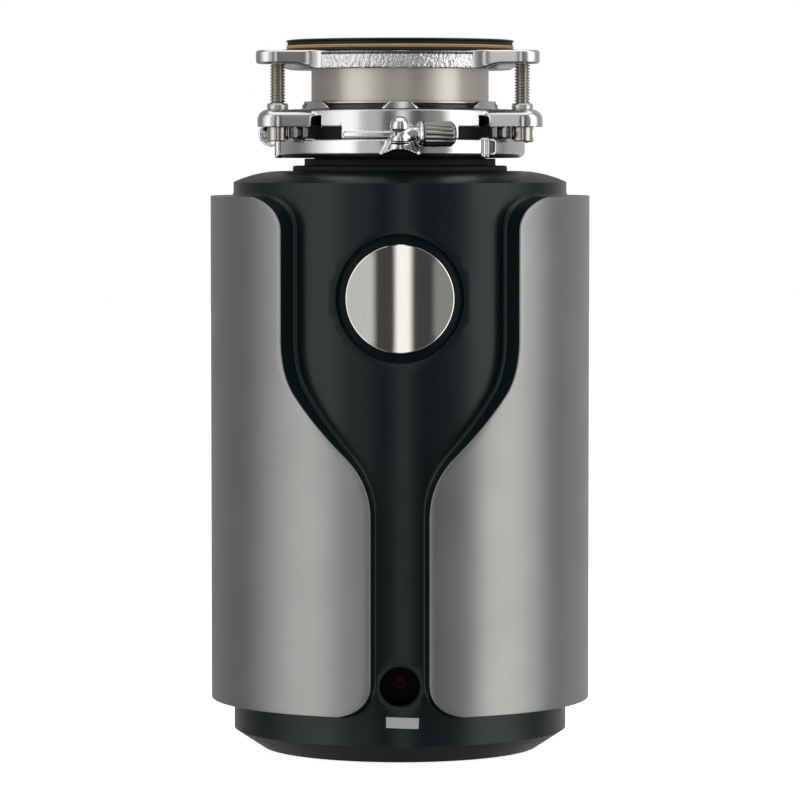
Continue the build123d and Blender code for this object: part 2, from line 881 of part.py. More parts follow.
def hopper():
    inner_dome_low = dome_low - 1.0
    dome_mid_r = hopper_dome_r + (hopper_r - hopper_dome_r) * 0.76
    dome_mid_z = dome_low + hopper_dome_h * 0.64
    outline = [
        Line((hopper_in, hopper_low), (flange_r, hopper_low)),
        Line((flange_r, hopper_low), (flange_r, hopper_flange_top)),
        Line((flange_r, hopper_flange_top), (hopper_r, hopper_flange_top)),
        Line((hopper_r, hopper_flange_top), (hopper_r, dome_low)),
        ThreePointArc((hopper_r, dome_low), (dome_mid_r, dome_mid_z),
                      (hopper_dome_r, dome_top)),
        Line((hopper_dome_r, dome_top), (throat_r, dome_top + 1)),
        Line((throat_r, dome_top + 1), (throat_r, lip_low)),
        Line((throat_r, lip_low), (lip_r, lip_low)),
        Line((lip_r, lip_low), (lip_r, lip_top)),
        Line((lip_r, lip_top), (throat_in, lip_top)),
        Line((throat_in, lip_top), (throat_in, dome_top - hopper_wall)),
        Line((throat_in, dome_top - hopper_wall),
             (hopper_dome_r - 1, dome_top - hopper_wall - 0.5)),
        ThreePointArc((hopper_dome_r - 1, dome_top - hopper_wall - 0.5),
                      (dome_mid_r - hopper_wall * 0.8, dome_mid_z - hopper_wall * 0.8),
                      (hopper_in, inner_dome_low)),
        Line((hopper_in, inner_dome_low), (hopper_in, hopper_low)),
    ]
    body = revolve(make_face(Plane.XZ * (Curve() + outline)), Axis.Z)
    body -= rod_y(inlet_r + slip, 0, inlet_z, hopper_r / 2, panel_r)
    hole = Pos(0, -chamber_screw_circle, 0) * disc(chamber_screw_r + slip, hopper_low - 1,
                                                   hopper_flange_top + 1)
    for drilled in around(hole, chamber_screw_angles):
        body -= drilled
    return body


def hopper_gasket():
    flat = ring(flange_r, hopper_in, chamber_top, hopper_low)
    hole = Pos(0, -chamber_screw_circle, 0) * disc(chamber_screw_r + slip, chamber_top - 1,
                                                   hopper_low + 1)
    for drilled in around(hole, chamber_screw_angles):
        flat -= drilled
    return flat


def chamber_screws():
    top = hopper_flange_top + chamber_screw_head_t
    screw = disc(chamber_screw_r, top - chamber_screw_len, top)
    screw += disc(chamber_screw_head_r, hopper_flange_top, top)
    return group(around(Pos(0, -chamber_screw_circle, 0) * screw, chamber_screw_angles))


def shredder_ring():
    wall = ring(shredder_r, shredder_in, chamber_top, chamber_top + shredder_h)
    slot = block(slot_w, slot_depth + 1, slot_h, 0,
                 -shredder_in - (slot_depth - 1) / 2, table_top + slip)
    for cut in around(slot, evenly(shredder_slots)):
        wall -= cut
    return wall


def turntable():
    plate = disc(table_r, table_low, table_top)
    plate += disc(hub_r, hub_low, table_low + 1)
    plate -= disc(shaft_r + shaft_gap, hub_low - 1, table_top + 1)
    hole = Pos(0, -drain_hole_circle, 0) * disc(drain_hole_r, table_low - 1, table_top + 1)
    for drilled in around(hole, evenly(drain_hole_count)):
        plate -= drilled
    pivot = Pos(0, -pivot_circle, 0) * disc(rivet_r, table_low - 1, table_top + 1)
    for drilled in around(pivot, evenly(2)):
        plate -= drilled
    return plate


def impeller(angle):
    low = table_top + swing
    arm = Circle(impeller_r) + Pos(0, -impeller_reach) * Circle(impeller_tip_r)
    web = Polyline((-impeller_r, 0), (impeller_r, 0), (impeller_tip_r, -impeller_reach),
                   (-impeller_tip_r, -impeller_reach), close=True)
    arm += make_face(web)
    shape = extrude(arm, impeller_t)
    tooth = extrude(Circle(impeller_tip_r), impeller_t + impeller_lug_h)
    tooth = Pos(0, -impeller_reach, 0) * tooth
    tooth -= disc(rivet_head_r + 2 * swing, impeller_t, impeller_t + impeller_lug_h + 1)
    shape += tooth
    shape -= disc(rivet_r - shaft_gap + swing, -1, impeller_t + 1)
    return Rot(0, 0, angle) * Pos(0, -pivot_circle, low) * shape


def impeller_rivets():
    head_low = table_top + impeller_t + 2 * swing
    rivet = disc(rivet_r - shaft_gap, table_low - rivet_head_t, head_low + 0.5)
    rivet += disc(rivet_head_r, head_low, head_low + rivet_head_t)
    rivet += disc(rivet_head_r, table_low - rivet_head_t, table_low)
    return group(around(Pos(0, -pivot_circle, 0) * rivet, evenly(2)))


def turntable_nut():
    nut = Pos(0, 0, table_top) * extrude(RegularPolygon(table_nut_r, 6), table_nut_h)
    return nut - disc(shaft_r + shaft_gap, table_top - 1, table_top + table_nut_h + 1)


def insulation_jacket():
    low = hopper_flange_top + jacket_from + chamber_screw_head_t
    jacket = ring(shell_in - jacket_gap, hopper_r + jacket_gap, low, low + jacket_h)
    jacket -= rod_y(inlet_flange_r, 0, inlet_z, 0, panel_r)
    return jacket & disc(panel_r, low, shell_top - spigot_h)


# Discharge chamber and outlet

def discharge_chamber():
    skirt_low = stator_top - stator_lap
    body = ring(chamber_r, chamber_in, floor_low, chamber_top)
    body += disc(chamber_r, floor_low, floor_top)
    body += ring(flange_r, chamber_in, chamber_top - chamber_flange_t, chamber_top)
    body += ring(bell_r, stator_fit, skirt_low, stator_top)
    body += ring(bell_r, stator_fit - stator_seat, stator_top, floor_low + 1)
    body += disc(bearing_r + hub_wall, upper_bearing_z, floor_low + 1)
    # Port for the outlet
    body += rod_y(outlet_r + port_wall, 0, outlet_z, chamber_in, port_face)
    body += outlet_outline(0, port_face - port_flange_t, port_face)
    for side in (-1, 1):
        body += rod_y(outlet_ear_r, side * outlet_ear_x, outlet_z,
                      chamber_in * 0.9, port_face)
    body -= disc(chamber_in, floor_top, chamber_top + 1)
    body += ring(chamber_r, ring_seat_r, chamber_top - chamber_flange_t, chamber_top)
    body -= rod_y(outlet_r, 0, outlet_z, 0, port_face + 1)
    for side in (-1, 1):
        body -= rod_y(outlet_screw_r + slip, side * outlet_ear_x, outlet_z,
                      port_face - outlet_screw_len, port_face + 1)
    # Bearing seat, shoulder and seal seat
    body -= disc(bearing_r + slip, upper_bearing_z - 1, upper_bearing_z + bearing_w)
    body -= disc(shoulder_bore, upper_bearing_z, floor_top + 1)
    body -= disc(seal_r + slip, seal_low, floor_top + 1)
    bolt = Pos(0, -bolt_circle, 0) * disc(bolt_r + slip, skirt_low - 1,
                                          skirt_low + bolt_bite)
    for drilled in around(bolt, bolt_angles):
        body -= drilled
    screw = disc(chamber_screw_r + slip, chamber_top - chamber_screw_len, chamber_top + 1)
    for drilled in around(Pos(0, -chamber_screw_circle, 0) * screw, chamber_screw_angles):
        body -= drilled
    return body


def outlet_gasket():
    flat = outlet_outline(0, port_face, port_face + outlet_gasket_t)
    flat -= rod_y(outlet_r, 0, outlet_z, port_face - 1, port_face + outlet_gasket_t + 1)
    for side in (-1, 1):
        flat -= rod_y(outlet_screw_r + slip, side * outlet_ear_x, outlet_z,
                      port_face - 1, port_face + outlet_gasket_t + 1)
    return flat


def discharge_spout():
    start = port_face + outlet_gasket_t
    end = start + spout_len
    spout = outlet_outline(0, start, start + spout_flange_t)
    spout += rod_y(outlet_r + port_wall, 0, outlet_z, start, end)
    spout -= rod_y(outlet_r, 0, outlet_z, start - 1, end + 1)
    for side in (-1, 1):
        spout -= rod_y(outlet_screw_r + slip, side * outlet_ear_x, outlet_z,
                       start - 1, start + spout_flange_t + 1)
    return spout


def outlet_screws():
    seat = port_face + outlet_gasket_t + spout_flange_t
    screws = []
    for side in (-1, 1):
        screw = rod_y(outlet_screw_r, side * outlet_ear_x, outlet_z,
                      seat - outlet_screw_len, seat + 0.5)
        screw += rod_y(outlet_screw_head_r, side * outlet_ear_x, outlet_z,
                       seat, seat + outlet_screw_head_t)
        screws.append(screw)
    return group(screws)


def dishwasher_inlet():
    nozzle = rod_y(inlet_r, 0, inlet_z, hopper_r / 2, inlet_end)
    nozzle -= disc(hopper_in, inlet_z - 2 * inlet_r, inlet_z + 2 * inlet_r)
    flange = rod_y(inlet_flange_r, 0, inlet_z, hopper_r / 2, hopper_r + inlet_flange_t)
    flange -= disc(hopper_r + slip, inlet_z - 2 * inlet_r, inlet_z + 2 * inlet_r)
    nozzle += flange
    # Collar outside the body, where the hose stops
    nozzle += rod_y(inlet_flange_r, 0, inlet_z, body_r + swing,
                    body_r + swing + inlet_flange_t)
    return nozzle - rod_y(inlet_bore_r, 0, inlet_z, hopper_r / 2, inlet_end + 1)


# Motor

def lower_end_bell():
    body = disc(bell_r, bell_low, bell_low + bell_floor_t)
    body += ring(bell_r, stator_fit - stator_seat, bell_low, stator_low)
    body += ring(bell_r, stator_fit, stator_low - 1, stator_low + stator_lap)
    body += disc(bearing_r + hub_wall, bell_low, lower_bearing_z + bearing_w)
    body -= ring(stator_fit, stator_fit - stator_seat, stator_low, stator_low + stator_lap + 1)
    body -= disc(bearing_r + slip, lower_bearing_z, lower_bearing_z + bearing_w + 1)
    body -= disc(shoulder_bore, bell_low - 1, lower_bearing_z + 1)
    hole = disc(bolt_r + slip, bell_low - 1, stator_low + stator_lap + 1)
    for drilled in around(Pos(0, -bolt_circle, 0) * hole, bolt_angles):
        body -= drilled
    tapped = Pos(0, -pillar_circle, 0) * disc(pillar_r, bell_low,
                                              bell_low + cover_screw_bite + 2)
    for boss in around(tapped, pillar_angles):
        body += boss
    drill = Pos(0, -pillar_circle, 0) * disc(cover_screw_r + slip, bell_low - 1,
                                             bell_low + cover_screw_bite + slip)
    for drilled in around(drill, pillar_angles):
        body -= drilled
    return body


def through_bolts():
    tip = stator_top - stator_lap + bolt_bite - slip
    bolt = disc(bolt_r, bell_low - bolt_head_t / 2, tip)
    bolt += disc(bolt_head_r, bell_low - bolt_head_t, bell_low)
    return group(around(Pos(0, -bolt_circle, 0) * bolt, bolt_angles))


def slot_plan(inner, outer, width):
    depth = outer - inner
    return Pos(0, -inner - depth / 2) * Rectangle(width, depth)


def stator_core():
    plan = Circle(stator_r) - Circle(stator_bore)
    for angle in evenly(slot_count):
        plan -= Rot(0, 0, angle) * slot_plan(slot_inner, slot_outer, slot_fill_w)
        plan -= Rot(0, 0, angle) * slot_plan(stator_bore - 1, slot_inner + 1, slot_fill_w / 3)
    return Pos(0, 0, stator_low) * extrude(plan, stator_h)


def stator_winding():
    lower = ring(winding_outer, slot_inner, stator_low - winding_rise, stator_low)
    upper = ring(winding_outer, slot_inner, stator_top, stator_top + winding_rise)
    crown = winding_rise / 3
    lower = fillet(lower.faces().sort_by(Axis.Z)[0].edges(), crown)
    upper = fillet(upper.faces().sort_by(Axis.Z)[-1].edges(), crown)
    coil = lower + upper
    bar = extrude(slot_plan(slot_inner + slip, slot_outer - slip, slot_fill_w - 2 * slip),
                  stator_h + 2)
    for side in around(Pos(0, 0, stator_low - 1) * bar, evenly(slot_count)):
        coil += side
    return coil


def rotor_core():
    return ring(rotor_r, shaft_r + shaft_gap, stator_low, stator_top)


def rotor_end_rings():
    low = ring(end_ring_r, end_ring_bore, stator_low - end_ring_t, stator_low)
    high = ring(end_ring_r, end_ring_bore, stator_top, stator_top + end_ring_t)
    width = end_ring_r - end_ring_bore
    fin = block(fin_t, width * 0.8, fin_h, 0, -(end_ring_r + end_ring_bore) / 2,
                stator_top + end_ring_t)
    for blade in around(fin, evenly(fin_count)):
        high += blade
    return group([low, high])


def shaft():
    rod = disc(shaft_r, bell_low + shaft_low, table_top + shaft_over)
    return chamfer(rod.edges().filter_by(GeomType.CIRCLE), 0.8)


def race_groove(low, play):
    return Pos(0, 0, low + bearing_w / 2) * Torus(ball_circle, ball_r + play)


def bearing_outer_races():
    races = []
    for low in (lower_bearing_z, upper_bearing_z):
        race = ring(bearing_r, bearing_r - race_t, low, low + bearing_w)
        races.append(race - race_groove(low, ball_play))
    return group(races)


def bearing_inner_races():
    races = []
    for low in (lower_bearing_z, upper_bearing_z):
        race = ring(shaft_r + race_t, shaft_r + shaft_gap, low + swing, low + bearing_w)
        races.append(race - race_groove(low, groove_play))
    return group(races)


def bearing_balls():
    balls = []
    for low in (lower_bearing_z, upper_bearing_z):
        ball = Pos(0, -ball_circle, low + bearing_w / 2) * Sphere(ball_r)
        balls += around(ball, evenly(ball_count))
    return group(balls)


def shaft_seal():
    return turned((seal_r, seal_low), (seal_r, floor_top), (seal_r - 1.5, floor_top),
                  (shaft_r + 2.5, floor_top - 2), (shaft_r + shaft_gap, floor_top - 1),
                  (shaft_r + shaft_gap, floor_top - 3), (shaft_r + 1.5, seal_low + 2),
                  (shaft_r + swing, seal_low + 2), (shaft_r + swing, seal_low))


def slinger():
    return turned((shaft_r + shaft_gap, hub_low - slinger_t), (hub_r, hub_low - slinger_t),
                  (slinger_r, hub_low - 2 * slinger_t + 1), (slinger_r, hub_low - slinger_t),
                  (hub_r, hub_low), (shaft_r + shaft_gap, hub_low))


# Electrical compartment

def cable_gland():
    seat = sqrt(body_r ** 2 - gland_flange_r ** 2)
    body = rod_y(gland_r, 0, gland_z, shell_in - gland_inside, body_r + gland_flange_t)
    flange = rod_y(gland_flange_r, 0, gland_z, seat, body_r + gland_flange_t / 2)
    flange -= disc(body_r, gland_z - 2 * gland_flange_r, gland_z + 2 * gland_flange_r)
    body += flange
    return body - rod_y(gland_bore_r, 0, gland_z, 0, panel_r + gland_flange_t)


def gland_nut():
    flat = sqrt(shell_in ** 2 - gland_nut_r ** 2) - gland_nut_t
    nut = rod_y(gland_nut_r, 0, gland_z, flat, body_r)
    nut &= disc(shell_in, gland_z - 2 * gland_nut_r, gland_z + 2 * gland_nut_r)
    return nut - rod_y(gland_r + slip, 0, gland_z, 0, body_r)


def terminal_block():
    case = block(block_l, block_w, block_h, 0, block_y, cover_wall)
    step = block_l / block_poles
    for i in range(block_poles):
        x = (i - (block_poles - 1) / 2) * step
        case -= rod_y(block_hole_r, x, cover_wall + block_h * 0.4,
                      block_y - block_w, block_y + block_w)
        case -= Pos(x, block_y, 0) * disc(block_hole_r, cover_wall + block_h * 0.7,
                                          cover_wall + block_h + 1)
    return case


def earth_screw():
    top = cover_wall + earth_boss_h
    screw = disc(earth_r, cover_wall + 1, top + 0.5)
    screw += disc(earth_head_r, top, top + earth_head_t)
    return Pos(earth_x, block_y, 0) * screw


def run_capacitor():
    z = cover_wall + clip_t + capacitor_r
    can = rod_y(capacitor_r, capacitor_x, z, -capacitor_l / 2, capacitor_l / 2)
    for side in (-1, 1):
        can += block(1.0, 8.0, 6.0, capacitor_x + side * capacitor_r / 2,
                     capacitor_l / 2 + 3, z - 3)
    return can


def capacitor_clip():
    z = cover_wall + clip_t + capacitor_r
    band = rod_y(capacitor_r + slip + clip_t, capacitor_x, z, -clip_w / 2, clip_w / 2)
    foot = block(2 * capacitor_r, clip_w, clip_t + 1, capacitor_x, 0, cover_wall)
    clip = band + foot
    clip -= rod_y(capacitor_r + slip, capacitor_x, z, -clip_w, clip_w)
    return clip - disc(body_r, 0, cover_wall)


os.makedirs("parts", exist_ok=True)
left_cheek, right_cheek = side_cheeks()
left_panel, right_panel = side_panels()
save("sink_flange", sink_flange())
save("flange_gasket", flange_gasket())
save("fibre_gasket", fibre_gasket())
save("backup_flange", backup_flange())
save("mounting_ring", mounting_ring())
save("snap_ring", snap_ring())
save("mounting_screws", mounting_screws())
save("screw_collars", screw_collars())
save("lock_ring", lock_ring())
save("lock_pin", lock_pin())
save("lock_knob", lock_knob())
save("splash_guard", splash_guard())
save("throat_collar", throat_collar())
save("top_cover", top_cover())
save("body_shell", body_shell())
save("left_cheek", left_cheek)
save("right_cheek", right_cheek)
save("left_panel", left_panel)
save("right_panel", right_panel)
save("badge_disc", badge_disc())
save("bottom_cover", bottom_cover())
save("cover_screws", cover_screws())
save("reset_guard", reset_guard())
save("overload_protector", overload_protector())
save("reset_button", reset_button())
save("reset_label", reset_label())
save("cable_gland", cable_gland())
save("gland_nut", gland_nut())
save("terminal_block", terminal_block())
save("earth_screw", earth_screw())
save("run_capacitor", run_capacitor())
save("capacitor_clip", capacitor_clip())
save("hopper", hopper())
save("hopper_gasket", hopper_gasket())
save("chamber_screws", chamber_screws())
save("shredder_ring", shredder_ring())
save("turntable", turntable())
save("front_impeller", impeller(0))
save("rear_impeller", impeller(180))
save("impeller_rivets", impeller_rivets())
save("turntable_nut", turntable_nut())
save("insulation_jacket", insulation_jacket())
save("discharge_chamber", discharge_chamber())
save("outlet_gasket", outlet_gasket())
save("discharge_spout", discharge_spout())
save("outlet_screws", outlet_screws())
save("dishwasher_inlet", dishwasher_inlet())
save("lower_end_bell", lower_end_bell())
save("through_bolts", through_bolts())
save("stator_core", stator_core())
save("stator_winding", stator_winding())
save("rotor_core", rotor_core())
save("rotor_end_rings", rotor_end_rings())
save("shaft", shaft())
save("bearing_outer_races", bearing_outer_races())
save("bearing_inner_races", bearing_inner_races())
save("bearing_balls", bearing_balls())
save("shaft_seal", shaft_seal())
save("slinger", slinger())
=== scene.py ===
import json
from math import acos, asin, atan2, cos, hypot, pi, radians, sin, sqrt, tan

import bmesh
import bpy
import numpy as np
from mathutils import Matrix, Vector
from mathutils.geometry import delaunay_2d_cdt


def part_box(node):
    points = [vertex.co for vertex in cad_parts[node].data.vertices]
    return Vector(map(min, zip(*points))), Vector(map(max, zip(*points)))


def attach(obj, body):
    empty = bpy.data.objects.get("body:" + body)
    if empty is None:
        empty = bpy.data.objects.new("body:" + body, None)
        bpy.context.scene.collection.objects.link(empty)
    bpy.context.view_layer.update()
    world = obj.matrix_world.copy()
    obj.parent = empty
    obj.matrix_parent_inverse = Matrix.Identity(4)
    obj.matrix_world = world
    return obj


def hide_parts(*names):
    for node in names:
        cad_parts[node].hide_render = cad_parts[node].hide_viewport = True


# Food waste disposer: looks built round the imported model.
# Lengths are in millimetres here and become metres where a mesh is made.

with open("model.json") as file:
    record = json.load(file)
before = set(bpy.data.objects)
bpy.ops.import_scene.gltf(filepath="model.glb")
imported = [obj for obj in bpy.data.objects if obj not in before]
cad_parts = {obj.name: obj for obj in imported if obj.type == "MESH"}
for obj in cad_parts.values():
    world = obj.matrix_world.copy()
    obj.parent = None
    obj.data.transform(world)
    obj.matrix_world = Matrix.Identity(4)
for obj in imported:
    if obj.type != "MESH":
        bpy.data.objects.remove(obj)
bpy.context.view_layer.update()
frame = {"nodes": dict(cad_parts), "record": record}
scene = bpy.context.scene
MM = 0.001


# Camera, found from the photograph

camera_distance = 2257.46
camera_height = 300.89
camera_tilt = 3.2173
lens_mm = 202.2
sensor_mm = 36.0
camera_data = bpy.data.cameras.new("camera")
camera_data.lens = lens_mm
camera_data.sensor_width = sensor_mm
camera_data.clip_end = 20.0
camera = bpy.data.objects.new("camera", camera_data)
camera.location = (0.0, -camera_distance * MM, camera_height * MM)
camera.rotation_euler = (radians(90.0 - camera_tilt), 0.0, 0.0)
scene.collection.objects.link(camera)
scene.camera = camera
scene.view_settings.view_transform = "Standard"


# Places read from the frame

def low(node, axis=2):
    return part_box(node)[0][axis] / MM


def high(node, axis=2):
    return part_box(node)[1][axis] / MM


# Driving sizes that repeat those of the part

panel_r = high("right_panel", 0)
panel_t = 0.8
panel_low = low("left_panel")
panel_top = high("left_panel")
cheek_r = panel_r - panel_t
body_r = high("body_shell", 0)
body_low = low("body_shell")
body_top = high("body_shell")
shell_wall = 3.0
gap_wide = 74.0
gap_stem = 14.55
gap_shoulder = 166.8
gap_slope_low = 114.7
top_round_x = 60.0
top_round_z = 17.4
shoulder_round = 16.7
slope_round = 18.0
foot_round_x = 25.5
foot_round_z = 17.3
edge_lap = 0.5
badge_z = (low("badge_disc") + high("badge_disc")) / 2
badge_r = high("badge_disc", 0)
badge_face = -low("badge_disc", 1)
groove_r = 31.3
groove_depth = 1.8
recess_r = 9.6
reset_z = 38.8
recess_depth = 14.0
button_hole_r = 3.3
button_z = (low("reset_button") + high("reset_button")) / 2
inlet_z = (low("dishwasher_inlet") + high("dishwasher_inlet")) / 2
gland_z = (low("cable_gland") + high("cable_gland")) / 2
outlet_z = (low("discharge_spout") + high("discharge_spout")) / 2
hole_edge = 0.5
shell_in = body_r - shell_wall
badge_back = 82.7
inlet_hole_r = 11.3
gland_hole_r = 8.1
outlet_hole_r = 22.7
outlet_ear_r = 7.2
outlet_ear_x = 28.5

# Play between pieces that sit on each other, and round the neck
seat_gap = 0.02
neck_play = 0.1


# Mesh helpers

def make_piece(name, body, slot, material, points, faces, replaces, sharp=38.0):
    """A mesh object from points in millimetres, shaded smooth and riding on a body."""
    mesh = bpy.data.meshes.new(name)
    mesh.from_pydata((np.asarray(points, float) * MM).tolist(), [], [list(f) for f in faces])
    welded = bmesh.new()
    welded.from_mesh(mesh)
    bmesh.ops.remove_doubles(welded, verts=welded.verts, dist=2e-6)
    bmesh.ops.dissolve_degenerate(welded, edges=welded.edges, dist=1e-6)
    bmesh.ops.recalc_face_normals(welded, faces=welded.faces)
    welded.to_mesh(mesh)
    welded.free()
    mesh.shade_smooth()
    mesh.set_sharp_from_angle(angle=radians(sharp))
    mesh.materials.append(material)
    piece = bpy.data.objects.new(name, mesh)
    scene.collection.objects.link(piece)
    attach(piece, body)
    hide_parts(*replaces)


def join_parts(parts):
    """One list of points and faces from several."""
    points = []
    faces = []
    for more_points, more_faces in parts:
        start = len(points)
        points.extend(np.asarray(more_points, float).tolist())
        faces.extend([[i + start for i in face] for face in more_faces])
    return points, faces


def turned(points, matrix):
    """Points moved by a 4x4 matrix."""
    matrix = np.array(matrix)
    return np.asarray(points, float) @ matrix[:3, :3].T + matrix[:3, 3]


def about_z(degrees_):
    return Matrix.Rotation(radians(degrees_), 4, "Z")


def rounded(corners, steps=5):
    """A closed outline from (a, b, radius) corners, each rounded by an arc."""
    outline = []
    count = len(corners)
    for i, (a, b, radius) in enumerate(corners):
        corner = Vector((a, b))
        before = Vector(corners[i - 1][:2]) - corner
        after = Vector(corners[(i + 1) % count][:2]) - corner
        if radius <= 0 or before.length == 0 or after.length == 0:
            outline.append((a, b))
            continue
        before.normalize()
        after.normalize()
        half = acos(max(-1.0, min(1.0, before.dot(after)))) / 2
        if half > radians(88):
            outline.append((a, b))
            continue
        centre = corner + (before + after).normalized() * (radius / sin(half))
        first = corner + before * (radius / tan(half)) - centre
        last = corner + after * (radius / tan(half)) - centre
        sweep = first.angle_signed(last)
        for k in range(steps + 1):
            arm = first.copy()
            arm.rotate(Matrix.Rotation(-sweep * k / steps, 2))
            outline.append(tuple(centre + arm))
    return outline


def lathe(corners, steps, matrix=Matrix.Identity(4)):
    """A closed (radius, height, rounding) outline turned about Z, then moved."""
    outline = rounded(corners)
    points = []
    for k in range(steps):
        angle = 2 * pi * k / steps
        points.extend([(r * cos(angle), r * sin(angle), z) for r, z in outline])
    count = len(outline)
    faces = []
    for k in range(steps):
        here = k * count
        there = (k + 1) % steps * count
        for i in range(count):
            j = (i + 1) % count
            if outline[i][0] < 1e-6 and outline[j][0] < 1e-6:
                continue
            faces.append([here + i, there + i, there + j, here + j])
    return turned(points, matrix), faces


def facing_front(z):
    """Turns a lathe's axis from +Z to -Y, through the axis at height z."""
    return Matrix.Translation((0, 0, z)) @ Matrix.Rotation(radians(90), 4, "X")


def tube_faces(rows, around):
    """Quads between rings of points: rows of them, around points to a ring."""
    faces = []
    for n in range(rows):
        here = n * around
        there = here + around
        for k in range(around):
            j = (k + 1) % around
            faces.append([here + k, here + j, there + j, there + k])
    return faces


def ring_face(start, around):
    """One face over the ring of points that begins at start."""
    return [start + k for k in range(around)]


# Sheets bent round the body

def inside(points, loops):
    """Which points lie inside an odd number of loops."""
    hits = np.zeros(len(points), int)
    for loop in loops:
        after = np.roll(loop, -1, axis=0)
        for (ax, ay), (bx, by) in zip(loop, after):
            if ay == by:
                continue
            crosses = (points[:, 1] < ay) != (points[:, 1] < by)
            at = ax + (points[:, 1] - ay) * (bx - ax) / (by - ay)
            hits += crosses & (points[:, 0] < at)
    return hits % 2 == 1


def clear_of(points, loops, distance):
    """Points at least a distance away from the corners of all loops."""
    keep = np.ones(len(points), bool)
    for corner in np.vstack(loops):
        keep &= np.hypot(*(points - corner).T) > distance
    return points[keep]


class Rail:
    """An edge of a sheet. spot(inset, radius) gives its (angle, height) points, and each
    ring is (inset, radius), from the outer face over the edge to the inner face."""

    def __init__(self, spot, rings, closed=True):
        self.spot = spot
        self.rings = rings
        self.closed = closed


def left_normals(loop, closed=True):
    before = np.roll(loop, 1, axis=0)
    after = np.roll(loop, -1, axis=0)
    if not closed:
        before[0] = loop[0]
        after[-1] = loop[-1]
    along = after - before
    along /= np.hypot(*along.T)[:, None] + 1e-12
    return np.stack([-along[:, 1], along[:, 0]], 1)


def free_rail(outline, rings, radius):
    """A rail along a closed outline of (angle, height) points, running anticlockwise
    round a sheet, or clockwise round a hole."""
    flat = np.array(outline, float) * (radius, 1.0)
    normals = left_normals(flat)

    def spot(inset, _):
        return (flat + normals * inset) / (radius, 1.0)

    return Rail(spot, rings)


def round_rail(z, hole_r, rings, back=False, count=96, is_hole=True):
    """A rail round a hole, or a disc, that is bored along Y."""
    turn = -1.0 if is_hole else 1.0

    def spot(inset, radius):
        angle = turn * np.linspace(0, 2 * pi, count, endpoint=False)
        reach = hole_r - turn * inset
        x = reach * np.cos(angle)
        theta = np.arcsin(x / radius)
        if back:
            theta = -pi + theta
        return np.stack([theta, z + reach * np.sin(angle)], 1)

    return Rail(spot, rings)


def on_cylinder(spots, radius):
    return np.stack([radius * np.sin(spots[:, 0]), -radius * np.cos(spots[:, 0]),
                     spots[:, 1]], 1)


def clad(rails, radius, inner, pitch, seams=()):
    """A closed shell bent round the axis, between rails. Its outer face is at radius and its
    inner face at inner; seams are plain edges that meet each other round the back."""
    starts = [rail.spot(*rail.rings[0]) * (radius, 1.0) for rail in rails]
    loops = [start for start, rail in zip(starts, rails) if rail.closed]
    borders = starts + [np.array(seam, float) * (radius, 1.0) for seam in seams]
    left, bottom = np.vstack(borders).min(0)
    right, top = np.vstack(borders).max(0)
    if seams:
        loops.append(np.array([(left, bottom), (right, bottom), (right, top), (left, top)]))
    columns = max(2, round((right - left) / pitch))
    rows = max(2, round((top - bottom) / pitch))
    grid = np.stack(np.meshgrid(np.linspace(left, right, columns + 1)[1:-1],
                                np.linspace(bottom, top, rows + 1)[1:-1]), -1).reshape(-1, 2)
    grid = grid[inside(grid, loops)]
    grid = clear_of(grid, borders, 0.55 * pitch)
    flat = []
    edges = []
    for border, rail in zip(borders, list(rails) + [None] * len(seams)):
        begin = len(flat)
        flat.extend(border.tolist())
        edges += [(begin + i, begin + i + 1) for i in range(len(border) - 1)]
        if rail is not None and rail.closed:
            edges.append((begin + len(border) - 1, begin))
    flat.extend(grid.tolist())
    spots, _, faces, origin, _, _ = delaunay_2d_cdt([Vector(p) for p in flat], edges, [], 0, 1e-6)
    spots = np.array([tuple(p) for p in spots])
    faces = np.array(faces)
    faces = faces[inside(spots[faces].mean(1), loops)].tolist()
    spots = spots / (radius, 1.0)
    placed = {}
    for new, olds in enumerate(origin):
        for old in olds:
            placed[old] = new
    points = list(on_cylinder(spots, radius))
    under = {i: None for i in range(len(spots))}
    offset = 0
    for border, rail in zip(borders, rails):
        count = len(border)
        ring = [placed[offset + i] for i in range(count)]
        offset += count
        bottom_ring = ring
        for inset, ring_radius in rail.rings[1:]:
            begin = len(points)
            points.extend(on_cylinder(rail.spot(inset, ring_radius), ring_radius))
            fresh = list(range(begin, begin + count))
            for i in range(count if rail.closed else count - 1):
                j = (i + 1) % count
                faces.append([bottom_ring[i], bottom_ring[j], fresh[j], fresh[i]])
            bottom_ring = fresh
        for top_point, low_point in zip(ring, bottom_ring):
            under[top_point] = low_point
    outer_count = len(spots)
    inner_points = on_cylinder(spots, inner)
    for i in range(outer_count):
        if under[i] is None:
            under[i] = len(points)
            points.append(inner_points[i])
    faces += [[under[i] for i in reversed(face)] for face in faces if max(face) < outer_count]
    return np.array(points), faces


def edge_round(radius_top, size, steps=4):
    """Rings of a rounded edge that starts on the face at radius_top."""
    turns = [pi / 2 * k / steps for k in range(steps + 1)]
    return [(size * (1 - sin(turn)), radius_top - size * (1 - cos(turn))) for turn in turns]


def bezier(a, b, c, steps=14):
    t = np.linspace(0, 1, steps + 1)[:, None]
    return ((1 - t) ** 2 * np.array(a) + 2 * t * (1 - t) * np.array(b) + t ** 2 * np.array(c))


def line(a, b, step=3.0):
    count = max(1, round(hypot(b[0] - a[0], b[1] - a[1]) / step))
    t = np.linspace(0, 1, count + 1)[:, None]
    return (1 - t) * np.array(a) + t * np.array(b)


